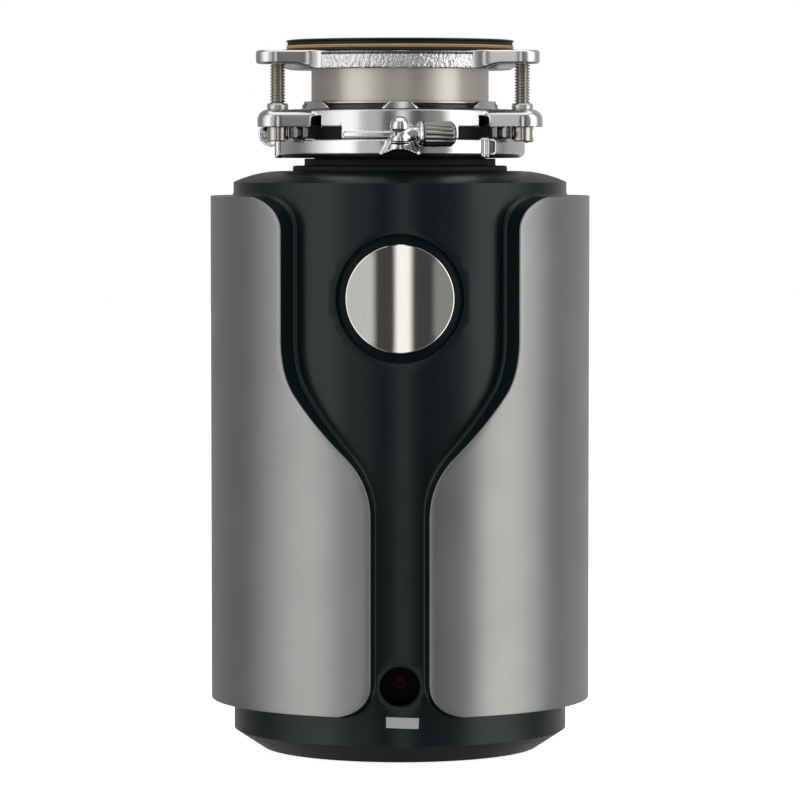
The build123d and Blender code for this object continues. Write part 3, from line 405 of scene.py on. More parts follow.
def gap_edge():
    """Right edge of the front gap, bottom to top, as (angle, height) points."""
    slope = (gap_shoulder - gap_slope_low) / (gap_wide - gap_stem)
    run = 1 / sqrt(1 + slope ** 2)
    rise = slope * run
    foot = panel_low - edge_lap
    knee = panel_low + gap_slope_low
    shoulder = panel_low + gap_shoulder
    top = panel_top + edge_lap
    knee_end = (gap_stem + slope_round * run, knee + slope_round * rise)
    shoulder_start = (gap_wide - shoulder_round * run, shoulder - shoulder_round * rise)
    runs = [
        bezier((gap_stem + foot_round_x, foot), (gap_stem, foot), (gap_stem, foot + foot_round_z),
               24),
        line((gap_stem, foot + foot_round_z), (gap_stem, knee - slope_round)),
        bezier((gap_stem, knee - slope_round), (gap_stem, knee), knee_end),
        line(knee_end, shoulder_start),
        bezier(shoulder_start, (gap_wide, shoulder), (gap_wide, shoulder + shoulder_round)),
        line((gap_wide, shoulder + shoulder_round), (gap_wide, top - top_round_z)),
        bezier((gap_wide, top - top_round_z), (gap_wide, top), (gap_wide + top_round_x, top), 30),
    ]
    edge = np.vstack([runs[0]] + [run_[1:] for run_ in runs[1:]])
    edge = edge[(edge[:, 1] > panel_low) & (edge[:, 1] < panel_top)]
    low_end = crossing(runs[0], panel_low)
    top_end = crossing(runs[-1], panel_top)
    edge = np.vstack([[low_end], edge, [top_end]])
    return np.stack([np.arctan(edge[:, 0] / panel_r), edge[:, 1]], 1)


def crossing(run, height):
    """Where a rising run of points crosses a height."""
    across = np.interp(height, run[:, 1], run[:, 0])
    return (across, height)


def side_outline(left):
    """Outline of a side panel, anticlockwise seen from outside."""
    sign = -1 if left else 1
    front = gap_edge() * (sign, 1)
    back = np.stack([sign * pi - front[:, 0], front[:, 1]], 1)
    first, second = (back, front) if left else (front, back)
    low_run = np.linspace(first[0], second[0], 60)[1:-1]
    top_run = np.linspace(second[-1], first[-1], 60)[1:-1]
    return np.vstack([low_run, second, top_run, first[::-1]])


# Cast pieces, from distance fields

def smooth_union(a, b, blend):
    h = np.clip(0.5 + 0.5 * (b - a) / blend, 0, 1)
    return b + (a - b) * h - blend * h * (1 - h)


def smooth_cut(a, b, blend):
    return -smooth_union(-a, b, blend)


def capped(flat, height, middle, half, edge):
    """A flat shape's distance, given a height along an axis, with rounded rims."""
    a = flat + edge
    b = np.abs(height - middle) - half + edge
    return np.hypot(np.maximum(a, 0), np.maximum(b, 0)) + np.minimum(np.maximum(a, b), 0) - edge


def ring_field(p, outer, bore, z_low, z_high, edge):
    radius = np.hypot(p[:, 0], p[:, 1])
    flat = np.abs(radius - (outer + bore) / 2) - (outer - bore) / 2
    return capped(flat, p[:, 2], (z_low + z_high) / 2, (z_high - z_low) / 2, edge)


def cone_field(p, start, end, radius_start, radius_end, edge):
    """A round rod between two points, whose radius changes evenly from start to end."""
    start = np.array(start, float)
    axis = np.array(end, float) - start
    length = np.linalg.norm(axis)
    axis /= length
    along = (p - start) @ axis
    out = np.linalg.norm(p - start - along[:, None] * axis, axis=1)
    radius = radius_start + (radius_end - radius_start) * np.clip(along / length, 0, 1)
    slant = length / hypot(length, radius_end - radius_start)
    return capped((out - radius) * slant, along, length / 2, length / 2, edge)


def rod_field(p, start, end, radius, edge):
    return cone_field(p, start, end, radius, radius, edge)


def box_field(p, centre, half, edge):
    q = np.abs(p - np.array(centre, float)) - np.array(half, float) + edge
    return np.linalg.norm(np.maximum(q, 0), axis=1) + np.minimum(q.max(1), 0) - edge


def seen_from(p, degrees_):
    """Points in the frame of a feature that was turned about Z from the front."""
    angle = radians(-degrees_)
    x = p[:, 0] * cos(angle) - p[:, 1] * sin(angle)
    y = p[:, 0] * sin(angle) + p[:, 1] * cos(angle)
    return np.stack([x, y, p[:, 2]], 1)


def sector_field(p, start, stop):
    """Outside distance of a wedge about Z, angles from the front towards +X."""
    angle = np.arctan2(p[:, 0], -p[:, 1])
    radius = np.hypot(p[:, 0], p[:, 1])
    middle = radians((start + stop) / 2)
    half = radians(stop - start) / 2
    away = np.abs((angle - middle + pi) % (2 * pi) - pi) - half
    return radius * np.sin(np.clip(away, -pi / 2, pi / 2))


def cast(field, low_corner, high_corner, cell):
    """Surface nets over a distance field: points on the zero level, and quads."""
    far = 9.0
    block = 8
    slack = 1.15
    low_corner = np.array(low_corner, float)
    count = np.ceil((np.array(high_corner) - low_corner) / cell).astype(int) + 1
    values = np.full(count, far, np.float32)
    index = cube_of(np.ceil(count / block).astype(int))
    near = field(low_corner + (index + 0.5) * block * cell)
    reach = 0.5 * block * cell * sqrt(3) * slack
    for i, j, k in index[near < -reach] * block:
        values[i:i + block, j:j + block, k:k + block] = -far
    inner = cube_of([block] * 3)
    active = index[np.abs(near) <= reach]
    group = 512
    for first in range(0, len(active), group):
        cells = (active[first:first + group, None, :] * block + inner[None]).reshape(-1, 3)
        cells = cells[(cells < count).all(1)]
        values[tuple(cells.T)] = field(low_corner + cells * cell)
    return surface_net(values, low_corner, cell, field)


def cube_of(counts):
    """All whole places (i, j, k) below three counts, as rows."""
    return np.stack(np.meshgrid(*[np.arange(n) for n in counts], indexing="ij"), -1).reshape(-1, 3)


def surface_net(values, low_corner, cell, field):
    solid = values < 0
    count = np.array(values.shape)
    corners = [(i, j, k) for i in (0, 1) for j in (0, 1) for k in (0, 1)]
    total = np.zeros(count - 1, np.int8)
    for i, j, k in corners:
        total += solid[i:count[0] - 1 + i, j:count[1] - 1 + j, k:count[2] - 1 + k]
    mixed = np.argwhere((total > 0) & (total < 8))
    number = np.full(count - 1, -1, np.int64)
    number[tuple(mixed.T)] = np.arange(len(mixed))
    sums = np.zeros((len(mixed), 3))
    hits = np.zeros(len(mixed))
    for a in corners:
        for axis in range(3):
            if a[axis]:
                continue
            b = list(a)
            b[axis] = 1
            va = values[tuple((mixed + a).T)]
            vb = values[tuple((mixed + b).T)]
            cut = (va < 0) != (vb < 0)
            share = np.where(cut, va / np.where(cut, va - vb, 1), 0)
            spot = np.array(a, float) + share[:, None] * (np.array(b) - np.array(a))
            sums += spot * cut[:, None]
            hits += cut
    points = low_corner + (mixed + sums / hits[:, None]) * cell
    for _ in range(2):
        points = onto_surface(points, field, cell)
    faces = []
    for axis in range(3):
        u, v = [n for n in range(3) if n != axis]
        there = [slice(None)] * 3
        here = [slice(None)] * 3
        here[axis] = slice(0, -1)
        there[axis] = slice(1, None)
        cross = solid[tuple(here)] != solid[tuple(there)]
        spots = np.argwhere(cross)
        spots = spots[(spots[:, u] > 0) & (spots[:, v] > 0)
                      & (spots[:, u] < count[u] - 1) & (spots[:, v] < count[v] - 1)]
        du = np.zeros(3, int)
        dv = np.zeros(3, int)
        du[u] = 1
        dv[v] = 1
        quad = np.stack([number[tuple(spots.T)], number[tuple((spots - du).T)],
                         number[tuple((spots - du - dv).T)], number[tuple((spots - dv).T)]], 1)
        faces.append(quad[(quad >= 0).all(1)])
    return points, np.vstack(faces)


def onto_surface(points, field, cell):
    """One Newton step that never moves a point by more than half a cell."""
    tiny = 0.05 * cell
    here = field(points)
    slope = np.stack([field(points + tiny * axis) - field(points - tiny * axis)
                      for axis in np.eye(3)], 1) / (2 * tiny)
    steep = np.maximum((slope ** 2).sum(1), 0.25)
    move = -(here / steep)[:, None] * slope
    size = np.linalg.norm(move, axis=1)[:, None]
    return points + move * np.minimum(1, 0.5 * cell / np.maximum(size, 1e-9))


def ears_field(p, z_low, z_high, dome, tip_r, ahead=0.0):
    """Three ears with flanks tangent to their round tips; z_low may differ from point to point."""
    total = None
    for angle in ear_angles:
        q = seen_from(p, angle + ahead)
        out = -q[:, 1] - screw_circle
        side = np.abs(q[:, 0])
        lean = radians(ear_flank)
        flank = side * cos(lean) + out * sin(lean) - tip_r
        tip = np.hypot(side, out) - tip_r
        flat = np.where(out * cos(lean) - side * sin(lean) > 0, tip, flank)
        flat = np.maximum(flat, q[:, 1] + neck_r)
        ear = capped(flat, p[:, 2], (z_low + z_high) / 2, (z_high - z_low) / 2, dome)
        total = ear if total is None else np.minimum(total, ear)
    return total


# Materials

# Where a noise pattern's values start and end in practice
pattern_span = (0.35, 0.65)


def new_material(name, colour, roughness, metallic=0.0, specular=0.5):
    material = bpy.data.materials.new(name)
    material.use_nodes = True
    shader = shader_of(material)
    shader.inputs["Base Color"].default_value = (*colour, 1.0)
    shader.inputs["Roughness"].default_value = roughness
    shader.inputs["Metallic"].default_value = metallic
    shader.inputs["Specular IOR Level"].default_value = specular
    return material


def shader_of(material):
    return material.node_tree.nodes["Principled BSDF"]


def add_node(material, kind, **values):
    node = material.node_tree.nodes.new(kind)
    for key, value in values.items():
        if key in node.inputs:
            node.inputs[key].default_value = value
        else:
            setattr(node, key, value)
    return node


def connect(material, source, target):
    material.node_tree.links.new(source, target)


def noise(material, scale, detail=3.0, stretch=(1.0, 1.0, 1.0), rough=0.5):
    """A noise pattern over the object's own coordinates, in noise cells per metre."""
    where = add_node(material, "ShaderNodeTexCoord")
    mapping = add_node(material, "ShaderNodeMapping")
    mapping.inputs["Scale"].default_value = stretch
    pattern = add_node(material, "ShaderNodeTexNoise", Scale=scale, Detail=detail, Roughness=rough)
    connect(material, where.outputs["Object"], mapping.inputs["Vector"])
    connect(material, mapping.outputs["Vector"], pattern.inputs["Vector"])
    return pattern.outputs["Fac"]


def map_range(nodes, source, *limits, smooth=False):
    """A socket's values mapped from the first two limits to the last two."""
    span = nodes.new("ShaderNodeMapRange")
    if smooth:
        span.interpolation_type = "SMOOTHSTEP"
    nodes.id_data.links.new(source, span.inputs["Value"])
    for name, value in zip(("From Min", "From Max", "To Min", "To Max"), limits):
        span.inputs[name].default_value = value
    return span.outputs["Result"]


def spread(material, source, low_value, high_value, low_at, high_at):
    """A pattern's values spread from low_value to high_value."""
    return map_range(material.node_tree.nodes, source, low_at, high_at, low_value, high_value)


def vary_colour(material, source, colour, change):
    """Lets a pattern take a colour a little down and up."""
    ramp = add_node(material, "ShaderNodeValToRGB")
    tones = [[c * (1 - change) for c in colour], [min(1.0, c * (1 + change)) for c in colour]]
    for stop, position, tone in zip(ramp.color_ramp.elements, pattern_span, tones):
        stop.position = position
        stop.color = (*tone, 1.0)
    connect(material, source, ramp.inputs["Fac"])
    connect(material, ramp.outputs["Color"], shader_of(material).inputs["Base Color"])


def vary_roughness(material, source, roughness, change):
    """Lets a pattern take a roughness a little down and up."""
    tone = spread(material, source, roughness * (1 - change), roughness * (1 + change),
                  *pattern_span)
    connect(material, tone, shader_of(material).inputs["Roughness"])


def add_bump(material, source, height_mm):
    bump = add_node(material, "ShaderNodeBump", Distance=height_mm * MM, Strength=1.0)
    connect(material, source, bump.inputs["Height"])
    connect(material, bump.outputs["Normal"], shader_of(material).inputs["Normal"])


def math_node(nodes, operation, first, second=None):
    """A math node on a tree. Its inputs are numbers or sockets."""
    node = nodes.new("ShaderNodeMath")
    node.operation = operation
    for place, value in enumerate((first, second)):
        if isinstance(value, bpy.types.NodeSocket):
            nodes.id_data.links.new(value, node.inputs[place])
        elif value is not None:
            node.inputs[place].default_value = value
    return node.outputs[0]


def own_places(material):
    """Sockets of X, Y and Z in a piece's own coordinates."""
    where = add_node(material, "ShaderNodeTexCoord")
    split = add_node(material, "ShaderNodeSeparateXYZ")
    connect(material, where.outputs["Object"], split.inputs["Vector"])
    return split.outputs


def length_of(material, across, up):
    """Length of a flat vector, as a socket."""
    flat = add_node(material, "ShaderNodeCombineXYZ")
    connect(material, across, flat.inputs["X"])
    connect(material, up, flat.inputs["Y"])
    length = add_node(material, "ShaderNodeVectorMath", operation="LENGTH")
    connect(material, flat.outputs["Vector"], length.inputs[0])
    return length.outputs["Value"]


def within(material, source, start, stop, soft=0.1):
    """1 where a place in millimetres lies from start to stop, 0 elsewhere."""
    rise = spread(material, source, 0.0, 1.0, start * MM, (start + soft) * MM)
    fall = spread(material, source, 1.0, 0.0, (stop - soft) * MM, stop * MM)
    return math_node(material.node_tree.nodes, "MULTIPLY", rise, fall)


def in_zone(material, zone):
    """1 where a place lies in a zone: radii about the axis from, to, heights from, to."""
    r_from, r_to, z_from, z_to = zone
    x, y, z = own_places(material)
    in_radii = within(material, length_of(material, x, y), r_from, r_to)
    in_heights = within(material, z, z_from, z_to)
    return math_node(material.node_tree.nodes, "MULTIPLY", in_radii, in_heights)


def tint_places(material, zones, colour):
    """Paints another colour in some zones. Here it paints shade and dark reflections."""
    target = shader_of(material).inputs["Base Color"]
    for zone in zones:
        base = target.links[0].from_socket
        mix = add_node(material, "ShaderNodeMix", data_type="RGBA")
        # The colour sockets share their names with others, so they go by number
        factor, first, second = (mix.inputs[n] for n in (0, 6, 7))
        connect(material, in_zone(material, zone), factor)
        connect(material, base, first)
        second.default_value = (*colour, 1.0)
        connect(material, mix.outputs[2], target)


def grained(name, colour, roughness, grain, height, change=0.08, metallic=0.0, specular=0.5):
    """A moulded, painted or cast surface: fine grain, with slow changes of tone and gloss."""
    material = new_material(name, colour, roughness, metallic, specular)
    vary_colour(material, noise(material, 22.0), colour, change)
    vary_roughness(material, noise(material, 35.0), roughness, 0.08)
    add_bump(material, noise(material, grain, 2.0), height)
    return material


def dull_groove(material, radius_mm, height_mm):
    """Takes the shine from the groove about a point of the front."""
    nodes = material.node_tree.nodes
    x, y, z = own_places(material)
    radius = length_of(material, x, math_node(nodes, "SUBTRACT", z, height_mm * MM))
    gloss = shader_of(material).inputs["Specular IOR Level"]
    shine = gloss.default_value
    in_groove = spread(material, radius, 0.15 * shine, shine,
                       (radius_mm - 0.3) * MM, radius_mm * MM)
    behind = spread(material, y, 0.0, shine, -1.0 * MM, 1.0 * MM)
    connect(material, math_node(nodes, "MAXIMUM", in_groove, behind), gloss)


def hammer_zone(material, zone):
    """Beaten facets, only where a place lies in the zone."""
    facets = noise(material, 620.0, 2.0, (1.0, 1.0, 0.8))
    beaten = math_node(material.node_tree.nodes, "MULTIPLY", in_zone(material, zone), facets)
    add_bump(material, beaten, 0.9)


def brushed(name, colour, roughness, stretch, height, change=0.05, anisotropy=0.5):
    """Brushed metal: fine lines along one axis."""
    material = new_material(name, colour, roughness, 1.0)
    lines = noise(material, 1.0, 4.0, stretch, 0.6)
    vary_colour(material, lines, colour, change)
    vary_roughness(material, lines, roughness, 0.15)
    add_bump(material, lines, height)
    shader_of(material).inputs["Anisotropic"].default_value = anisotropy
    return material


body_black = grained("body_black", (0.0045, 0.0115, 0.0125), 0.25, 3800.0, 0.004, specular=0.36)
cover_black = grained("cover_black", (0.0055, 0.0095, 0.010), 0.31, 3800.0, 0.006, specular=0.13)
rubber_black = grained("rubber_black", (0.014, 0.014, 0.015), 0.62, 2200.0, 0.015, specular=0.35)
panel_grey = grained("panel_grey", (0.338, 0.338, 0.337), 0.31, 5200.0, 0.0035, 0.03, metallic=0.85)
neck_steel = brushed("neck_steel", (0.60, 0.572, 0.535), 0.36, (60.0, 60.0, 9000.0), 0.002)
plain_steel = brushed("plain_steel", (0.60, 0.59, 0.57), 0.28, (900.0, 900.0, 2500.0), 0.002)
thread_steel = grained("thread_steel", (0.56, 0.54, 0.49), 0.20, 900.0, 0.002, 0.03, metallic=1.0)
chrome = grained("chrome", (0.72, 0.73, 0.75), 0.13, 420.0, 0.020, 0.04, metallic=1.0)
ring_chrome = grained("ring_chrome", (0.70, 0.71, 0.73), 0.20, 300.0, 0.030, 0.04, metallic=1.0)
lock_chrome = grained("lock_chrome", (0.72, 0.73, 0.75), 0.14, 260.0, 0.040, 0.04, metallic=1.0)
backup_chrome = grained("backup_chrome", (0.74, 0.75, 0.77), 0.24, 420.0, 0.015, 0.05, metallic=1.0)
knob_chrome = grained("knob_chrome", (0.22, 0.23, 0.22), 0.20, 900.0, 0.004, 0.08, metallic=1.0)
badge_steel = brushed("badge_steel", (0.80, 0.79, 0.76), 0.07, (9000.0, 9000.0, 60.0), 0.0002,
                      anisotropy=0.0)
tan_fibre = grained("tan_fibre", (0.52, 0.40, 0.25), 0.75, 1500.0, 0.05, 0.18, specular=0.25)
well_black = grained("well_black", (0.003, 0.0035, 0.0035), 0.5, 3800.0, 0.006, specular=0.10)
# Painted shade: the button's own red is darkened to stand for the shade in its recess.
shaded_red_button = grained("shaded_red_button", (0.10, 0.002, 0.005), 0.45, 2600.0, 0.004, specular=0.06)
white_label = grained("white_label", (0.62, 0.625, 0.63), 0.6, 2600.0, 0.004, 0.03)
dark_plastic = grained("dark_plastic", (0.020, 0.020, 0.022), 0.5, 2600.0, 0.01, specular=0.2)
white_plastic = grained("white_plastic", (0.68, 0.68, 0.66), 0.45, 2600.0, 0.008)
cast_alloy = grained("cast_alloy", (0.48, 0.49, 0.50), 0.42, 900.0, 0.04, 0.08, metallic=1.0)
lamination = grained("lamination", (0.17, 0.17, 0.18), 0.5, 1800.0, 0.02, 0.15, metallic=1.0)
copper_wire = grained("copper_wire", (0.55, 0.22, 0.09), 0.35, 900.0, 0.15, 0.2, metallic=1.0)
hard_steel = brushed("hard_steel", (0.52, 0.52, 0.53), 0.3, (2500.0, 2500.0, 2500.0), 0.003)
grey_foam = grained("grey_foam", (0.07, 0.07, 0.078), 0.95, 700.0, 0.3, 0.25, specular=0.2)
for moulding in (body_black, cover_black):
    shader_of(moulding).inputs["Specular Tint"].default_value = (0.86, 0.97, 1.0, 1.0)

slot_material = {
    "polished_steel": neck_steel,
    "satin_steel": plain_steel,
    "bright_chrome": chrome,
    "black_rubber": rubber_black,
    "fibre": tan_fibre,
    "black_plastic": cover_black,
    "grey_metal": panel_grey,
    "badge_steel": badge_steel,
    "red_plastic": shaded_red_button,
    "white_label": white_label,
    "dark_plastic": dark_plastic,
    "foam": grey_foam,
    "cast_alloy": cast_alloy,
    "lamination": lamination,
    "winding": copper_wire,
    "hard_steel": hard_steel,
    "white_plastic": white_plastic,
}


def dress_nodes():
    """Gives every carried-over CAD node the material of its slot."""
    slots = {part["node"]: part["material_slot"] for part in frame["record"]["subparts"]}
    for node, piece in frame["nodes"].items():
        for place in piece.material_slots:
            place.material = slot_material[slots[node]]


# Sizes of the sink mount, from the part

neck_r = 44.4
neck_in = 43.4
collar_bore = 43.3
rim_r = high("sink_flange", 0)
rim_top = high("sink_flange")
rubber_r = high("flange_gasket", 0)
rubber_top = high("flange_gasket")
fibre_r = high("fibre_gasket", 0)
fibre_top = high("fibre_gasket")
backup_top = high("backup_flange")
backup_low = low("backup_flange")
backup_r = 56.0
backup_ear_h = 6.8
snap_top = high("snap_ring")
snap_low = low("snap_ring")
snap_r = high("snap_ring", 0)
groove_in_neck = 0.4
ring_collar_r = 49.0
ring_top = snap_low - 2.8
ring_low = ring_top - 8.6
ring_r = 57.5
skirt_wall = 2.5
skirt_low = low("mounting_ring")
ledge_r = 59.6
ledge_t = 2.4
ear_flank = 16.0
screw_circle = 69.7
screw_r = 3.9
screw_low = low("mounting_screws")
screw_top = high("mounting_screws")
lock_low = low("lock_ring")
lock_high = high("lock_ring")
lock_top = lock_low + 9.2
lock_r = 62.5
lock_bore = 43.6
lug_r = 73.0
lug_half = 4.5
screw_turn = 15.0
lug_angles = (0.0, 120.0, 240.0)
ear_angles = (60.0, 180.0, 300.0)
barrel_z = lock_top + 2.7
collar_top = high("throat_collar")
collar_low = low("throat_collar")
collar_r = high("throat_collar", 0)
cover_top = collar_low
knob_r = 6.3
knob_from = 10.8
knob_length = 16.7
cast_reach = 80.6
cast_margin = 0.9
cast_cell = 0.62


# Black body, side cheeks and grey panels

def body_tube():
    dull_groove(body_black, groove_r, badge_z)
    height = body_top - body_low
    seam_steps = 90
    rim_count = 241

    def seam(angle):
        return [(angle, body_low + height * i / seam_steps) for i in range(seam_steps + 1)]

    def run(z, inward):
        def spot(inset, _):
            angles = np.linspace(-1.5 * pi, 0.5 * pi, rim_count)
            return np.stack([angles, np.full(rim_count, z + inward * inset)], 1)
        return spot

    rims = [(0.0, body_r), (0.0, shell_in)]
    groove = [(0.35, body_r), (0.1, body_r - 0.12), (0.0, body_r - 0.4),
              (0.0, body_r - groove_depth + 0.3), (-0.3, body_r - groove_depth),
              (badge_r + 0.5 - groove_r, body_r - groove_depth),
              (badge_r + 0.1 - groove_r, body_r - groove_depth + 0.2),
              (badge_r + 0.1 - groove_r, badge_back)]
    hole = [(hole_edge, body_r), (0.15, body_r - 0.15), (0.0, body_r - hole_edge), (0.0, shell_in)]
    rails = [
        Rail(run(body_low, 1), rims, closed=False),
        Rail(run(body_top, -1), rims, closed=False),
        round_rail(badge_z, groove_r, groove),
        round_rail(reset_z, recess_r, hole, count=64),
        round_rail(inlet_z, inlet_hole_r, hole, True, 48),
        round_rail(gland_z, gland_hole_r, hole, True, 48),
        outlet_rail(hole),
    ]
    seams = (seam(-1.5 * pi), seam(0.5 * pi))
    make_piece("body_tube", "housing", "black_plastic", body_black,
               *clad(rails, body_r, shell_in, 4.0, seams), ("body_shell",))


def outlet_rail(rings):
    """Rail round the outlet's hole: a round flange with an ear at each side."""
    corner = atan2(outlet_ear_r, sqrt(outlet_hole_r ** 2 - outlet_ear_r ** 2))
    arcs = [(0.0, outlet_hole_r, corner, pi - corner, 24),
            (-outlet_ear_x, outlet_ear_r, pi / 2, 3 * pi / 2, 16),
            (0.0, outlet_hole_r, pi + corner, 2 * pi - corner, 24),
            (outlet_ear_x, outlet_ear_r, -pi / 2, pi / 2, 16)]
    outline = [(x + radius * cos(angle), radius * sin(angle))
               for x, radius, start, stop, count in arcs
               for angle in np.linspace(start, stop, count)]
    flat = np.array(outline)[::-1]
    normals = left_normals(flat)

    def spot(inset, radius):
        moved = flat + normals * inset
        return np.stack([-pi + np.arcsin(moved[:, 0] / radius), outlet_z + moved[:, 1]], 1)

    return Rail(spot, rings)


def side_pieces(side):
    left = side == "left"
    outline = side_outline(left)
    skin = free_rail(outline, edge_round(panel_r, 0.35) + [(0.0, cheek_r + seat_gap)], panel_r)
    make_piece(f"{side}_skin", "housing", "grey_metal", panel_grey,
               *clad([skin], panel_r, cheek_r + seat_gap, 3.2), (f"{side}_panel",))
    foot = 1.8
    steps = 5
    turns = [pi / 2 * k / steps for k in range(steps + 1)]
    fillet = [(-foot * (1 - cos(turn)), body_r + foot * (1 - sin(turn))) for turn in turns]
    rings = [(0.0, cheek_r), (0.0, body_r + foot)] + fillet[1:] + [(-foot, body_r - 0.1)]
    wall = free_rail(outline, rings, panel_r)
    make_piece(f"{side}_wall", "housing", "black_plastic", body_black,
               *clad([wall], cheek_r, body_r - 0.1, 6.0), (f"{side}_cheek",))


def badge():
    rim = [(0.5, badge_face), (0.15, badge_face - 0.1), (0.0, badge_face - 0.35),
           (0.0, badge_back + seat_gap)]
    rail = round_rail(badge_z, badge_r, rim, is_hole=False)
    make_piece("badge_plate", "housing", "badge_steel", badge_steel,
               *clad([rail], badge_face, badge_back + seat_gap, 2.5), ("badge_disc",), sharp=12.0)


def covers():
    crown = 59.0
    wall = 3.0
    spigot = 5.6
    arc = crown_arc(crown, cover_top, body_r, body_top, 14)
    corners = [(collar_bore, cover_top, 0.6)] + [(r, z, 0) for r, z in arc]
    corners += [(body_r - 0.05, body_top, 0), (shell_in - 0.1, body_top, 0),
                (shell_in - 0.1, body_top - spigot, 0.4), (shell_in - wall, body_top - spigot, 0.4),
                (shell_in - wall, body_top - 0.6, 0), (crown, cover_top - wall, 0),
                (collar_bore, cover_top - wall, 0.4)]
    make_piece("cover_crown", "housing", "black_plastic", cover_black,
               *lathe(corners, 240), ("top_cover",))


def crown_arc(r_from, z_from, r_to, z_to, steps):
    """Arc that starts level at one point and ends at another."""
    run = r_to - r_from
    drop = z_from - z_to
    radius = (run ** 2 + drop ** 2) / (2 * drop)
    sweep = asin(run / radius)
    return [(r_from + radius * sin(sweep * k / steps),
             z_from - radius * (1 - cos(sweep * k / steps))) for k in range(steps + 1)]


def lower_parts():
    wall = 1.8
    front = shell_in - seat_gap
    floor = front - recess_depth
    cup = [(button_hole_r, floor, 0), (recess_r - 1.2, floor, 0.8),
           (recess_r - seat_gap, floor + 1.0, 0), (recess_r - seat_gap, front - 0.3, 0),
           (recess_r + wall, front - 0.3, 0), (recess_r + wall, floor - wall, 0.5),
           (button_hole_r, floor - wall, 0)]
    make_piece("reset_cup", "housing", "black_plastic", well_black,
               *lathe(cup, 72, facing_front(reset_z)), ("reset_guard",))
    face = -low("reset_button", 1)
    back = -high("reset_button", 1)
    cap_r = 2.98
    button = [(0, back, 0), (cap_r, back, 0.3), (cap_r, face - 0.5, 0.7),
              (2.1, face - seat_gap, 0.5), (0, face - 0.25, 0)]
    make_piece("reset_cap", "reset_button", "red_plastic", shaded_red_button,
               *lathe(button, 64, facing_front(button_z)), ("reset_button",))


def sticker():
    width = 16.0
    height = 5.3
    tilt = radians(2.0)
    middle_x = (low("reset_label", 0) + high("reset_label", 0)) / 2
    middle_z = (low("reset_label") + high("reset_label")) / 2
    corner_r = 0.15
    corners = [(-width / 2, -height / 2, corner_r), (width / 2, -height / 2, corner_r),
               (width / 2, height / 2, corner_r), (-width / 2, height / 2, corner_r)]
    outline = []
    shape = rounded(corners, 4)
    for (ax, az), (bx, bz) in zip(shape, shape[1:] + shape[:1]):
        outline += line((ax, az), (bx, bz), 0.8)[:-1].tolist()
    flat = np.array(outline)
    x = middle_x + flat[:, 0] * cos(tilt) + flat[:, 1] * sin(tilt)
    z = middle_z - flat[:, 0] * sin(tilt) + flat[:, 1] * cos(tilt)
    face = body_r + 0.22
    rail = free_rail(np.stack([x / face, z], 1), [(0.12, face), (0.0, face - 0.1),
                                                  (0.0, body_r + 0.01)], face)
    make_piece("sticker", "housing", "white_label", white_label,
               *clad([rail], face, body_r + 0.01, 1.6), ("reset_label",))


# Sink flange and gaskets

def sink_parts():
    # Painted dark reflection: the polished rim's outer edge is painted near black.
    tint_places(neck_steel, [(rim_r - 1.0, rim_r + 1.0, rubber_top - 1.0, rim_top - 0.25)],
                (0.03, 0.03, 0.035))
    fibre_half = (backup_top + fibre_top) / 2
    # Painted shadow: the fibre washer's lower half is painted dark brown.
    tint_places(tan_fibre, [(neck_r, fibre_r + 1.0, backup_top - 1.0, fibre_half)],
                (0.07, 0.035, 0.012))
    bore = neck_r + neck_play
    groove = neck_r - groove_in_neck
    flange = [(neck_in, ring_low, 0.3), (neck_r, ring_low, 0.3), (neck_r, snap_low - 0.1, 0),
              (groove, snap_low - 0.1, 0), (groove, snap_top + 0.1, 0),
              (neck_r, snap_top + 0.1, 0), (neck_r, rubber_top, 0.4), (rim_r, rubber_top, 0.35),
              (rim_r, rim_top - 0.3, 0.5), (rim_r - 2.0, rim_top, 1.5),
              (neck_in + 2.0, rim_top, 1.5), (neck_in, rim_top - 2.0, 1.5)]
    make_piece("flange_and_neck", "housing", "polished_steel", neck_steel,
               *lathe(flange, 240), ("sink_flange",))
    rubber = [(bore, fibre_top, 0), (rubber_r, fibre_top, 0.5),
              (rubber_r, rubber_top - seat_gap, 0.5), (bore, rubber_top - seat_gap, 0)]
    make_piece("rubber_washer", "housing", "black_rubber", rubber_black,
               *lathe(rubber, 200), ("flange_gasket",))
    notch = 0.9
    fibre = [(bore, backup_top, 0), (fibre_r - 0.2, backup_top, 0.35),
             (fibre_r, fibre_half - 0.2, 0.2), (fibre_r - notch, fibre_half + 0.3, 0.15),
             (fibre_r - 0.1, fibre_top - 0.6, 0.2), (fibre_r - 0.3, fibre_top - seat_gap, 0.2),
             (bore, fibre_top - seat_gap, 0)]
    make_piece("fibre_washer", "housing", "fibre", tan_fibre,
               *lathe(fibre, 240), ("fibre_gasket",))


# Cast flanges and rings of the mount

def backup_field(p):
    root = 12.0
    dimple_h = 4.8
    hub = ring_field(p, backup_r, neck_r + 0.15, backup_low, backup_top, 0.9)
    away = np.clip((np.hypot(p[:, 0], p[:, 1]) - backup_r + 1.0) / root, 0.0, 1.0)
    rise = (backup_top - backup_ear_h - backup_low) * away * away * (3 - 2 * away)
    ears = ears_field(p, backup_low + rise, backup_top, dome=1.5, tip_r=9.7, ahead=-1.9)
    body = smooth_union(hub, ears, 6.5)
    body = np.maximum(body, backup_low - p[:, 2])
    for angle in ear_angles:
        q = seen_from(p, angle)
        dimple = np.hypot(q[:, 0], q[:, 1] + screw_circle) - screw_r - 0.15
        dimple = capped(dimple, p[:, 2], backup_low, backup_top - dimple_h - backup_low, 0.1)
        body = np.maximum(body, -dimple)
    bore = neck_r + neck_play - np.hypot(p[:, 0], p[:, 1])
    body = np.maximum(body, bore)
    return np.maximum(body, p[:, 2] - backup_top + seat_gap)


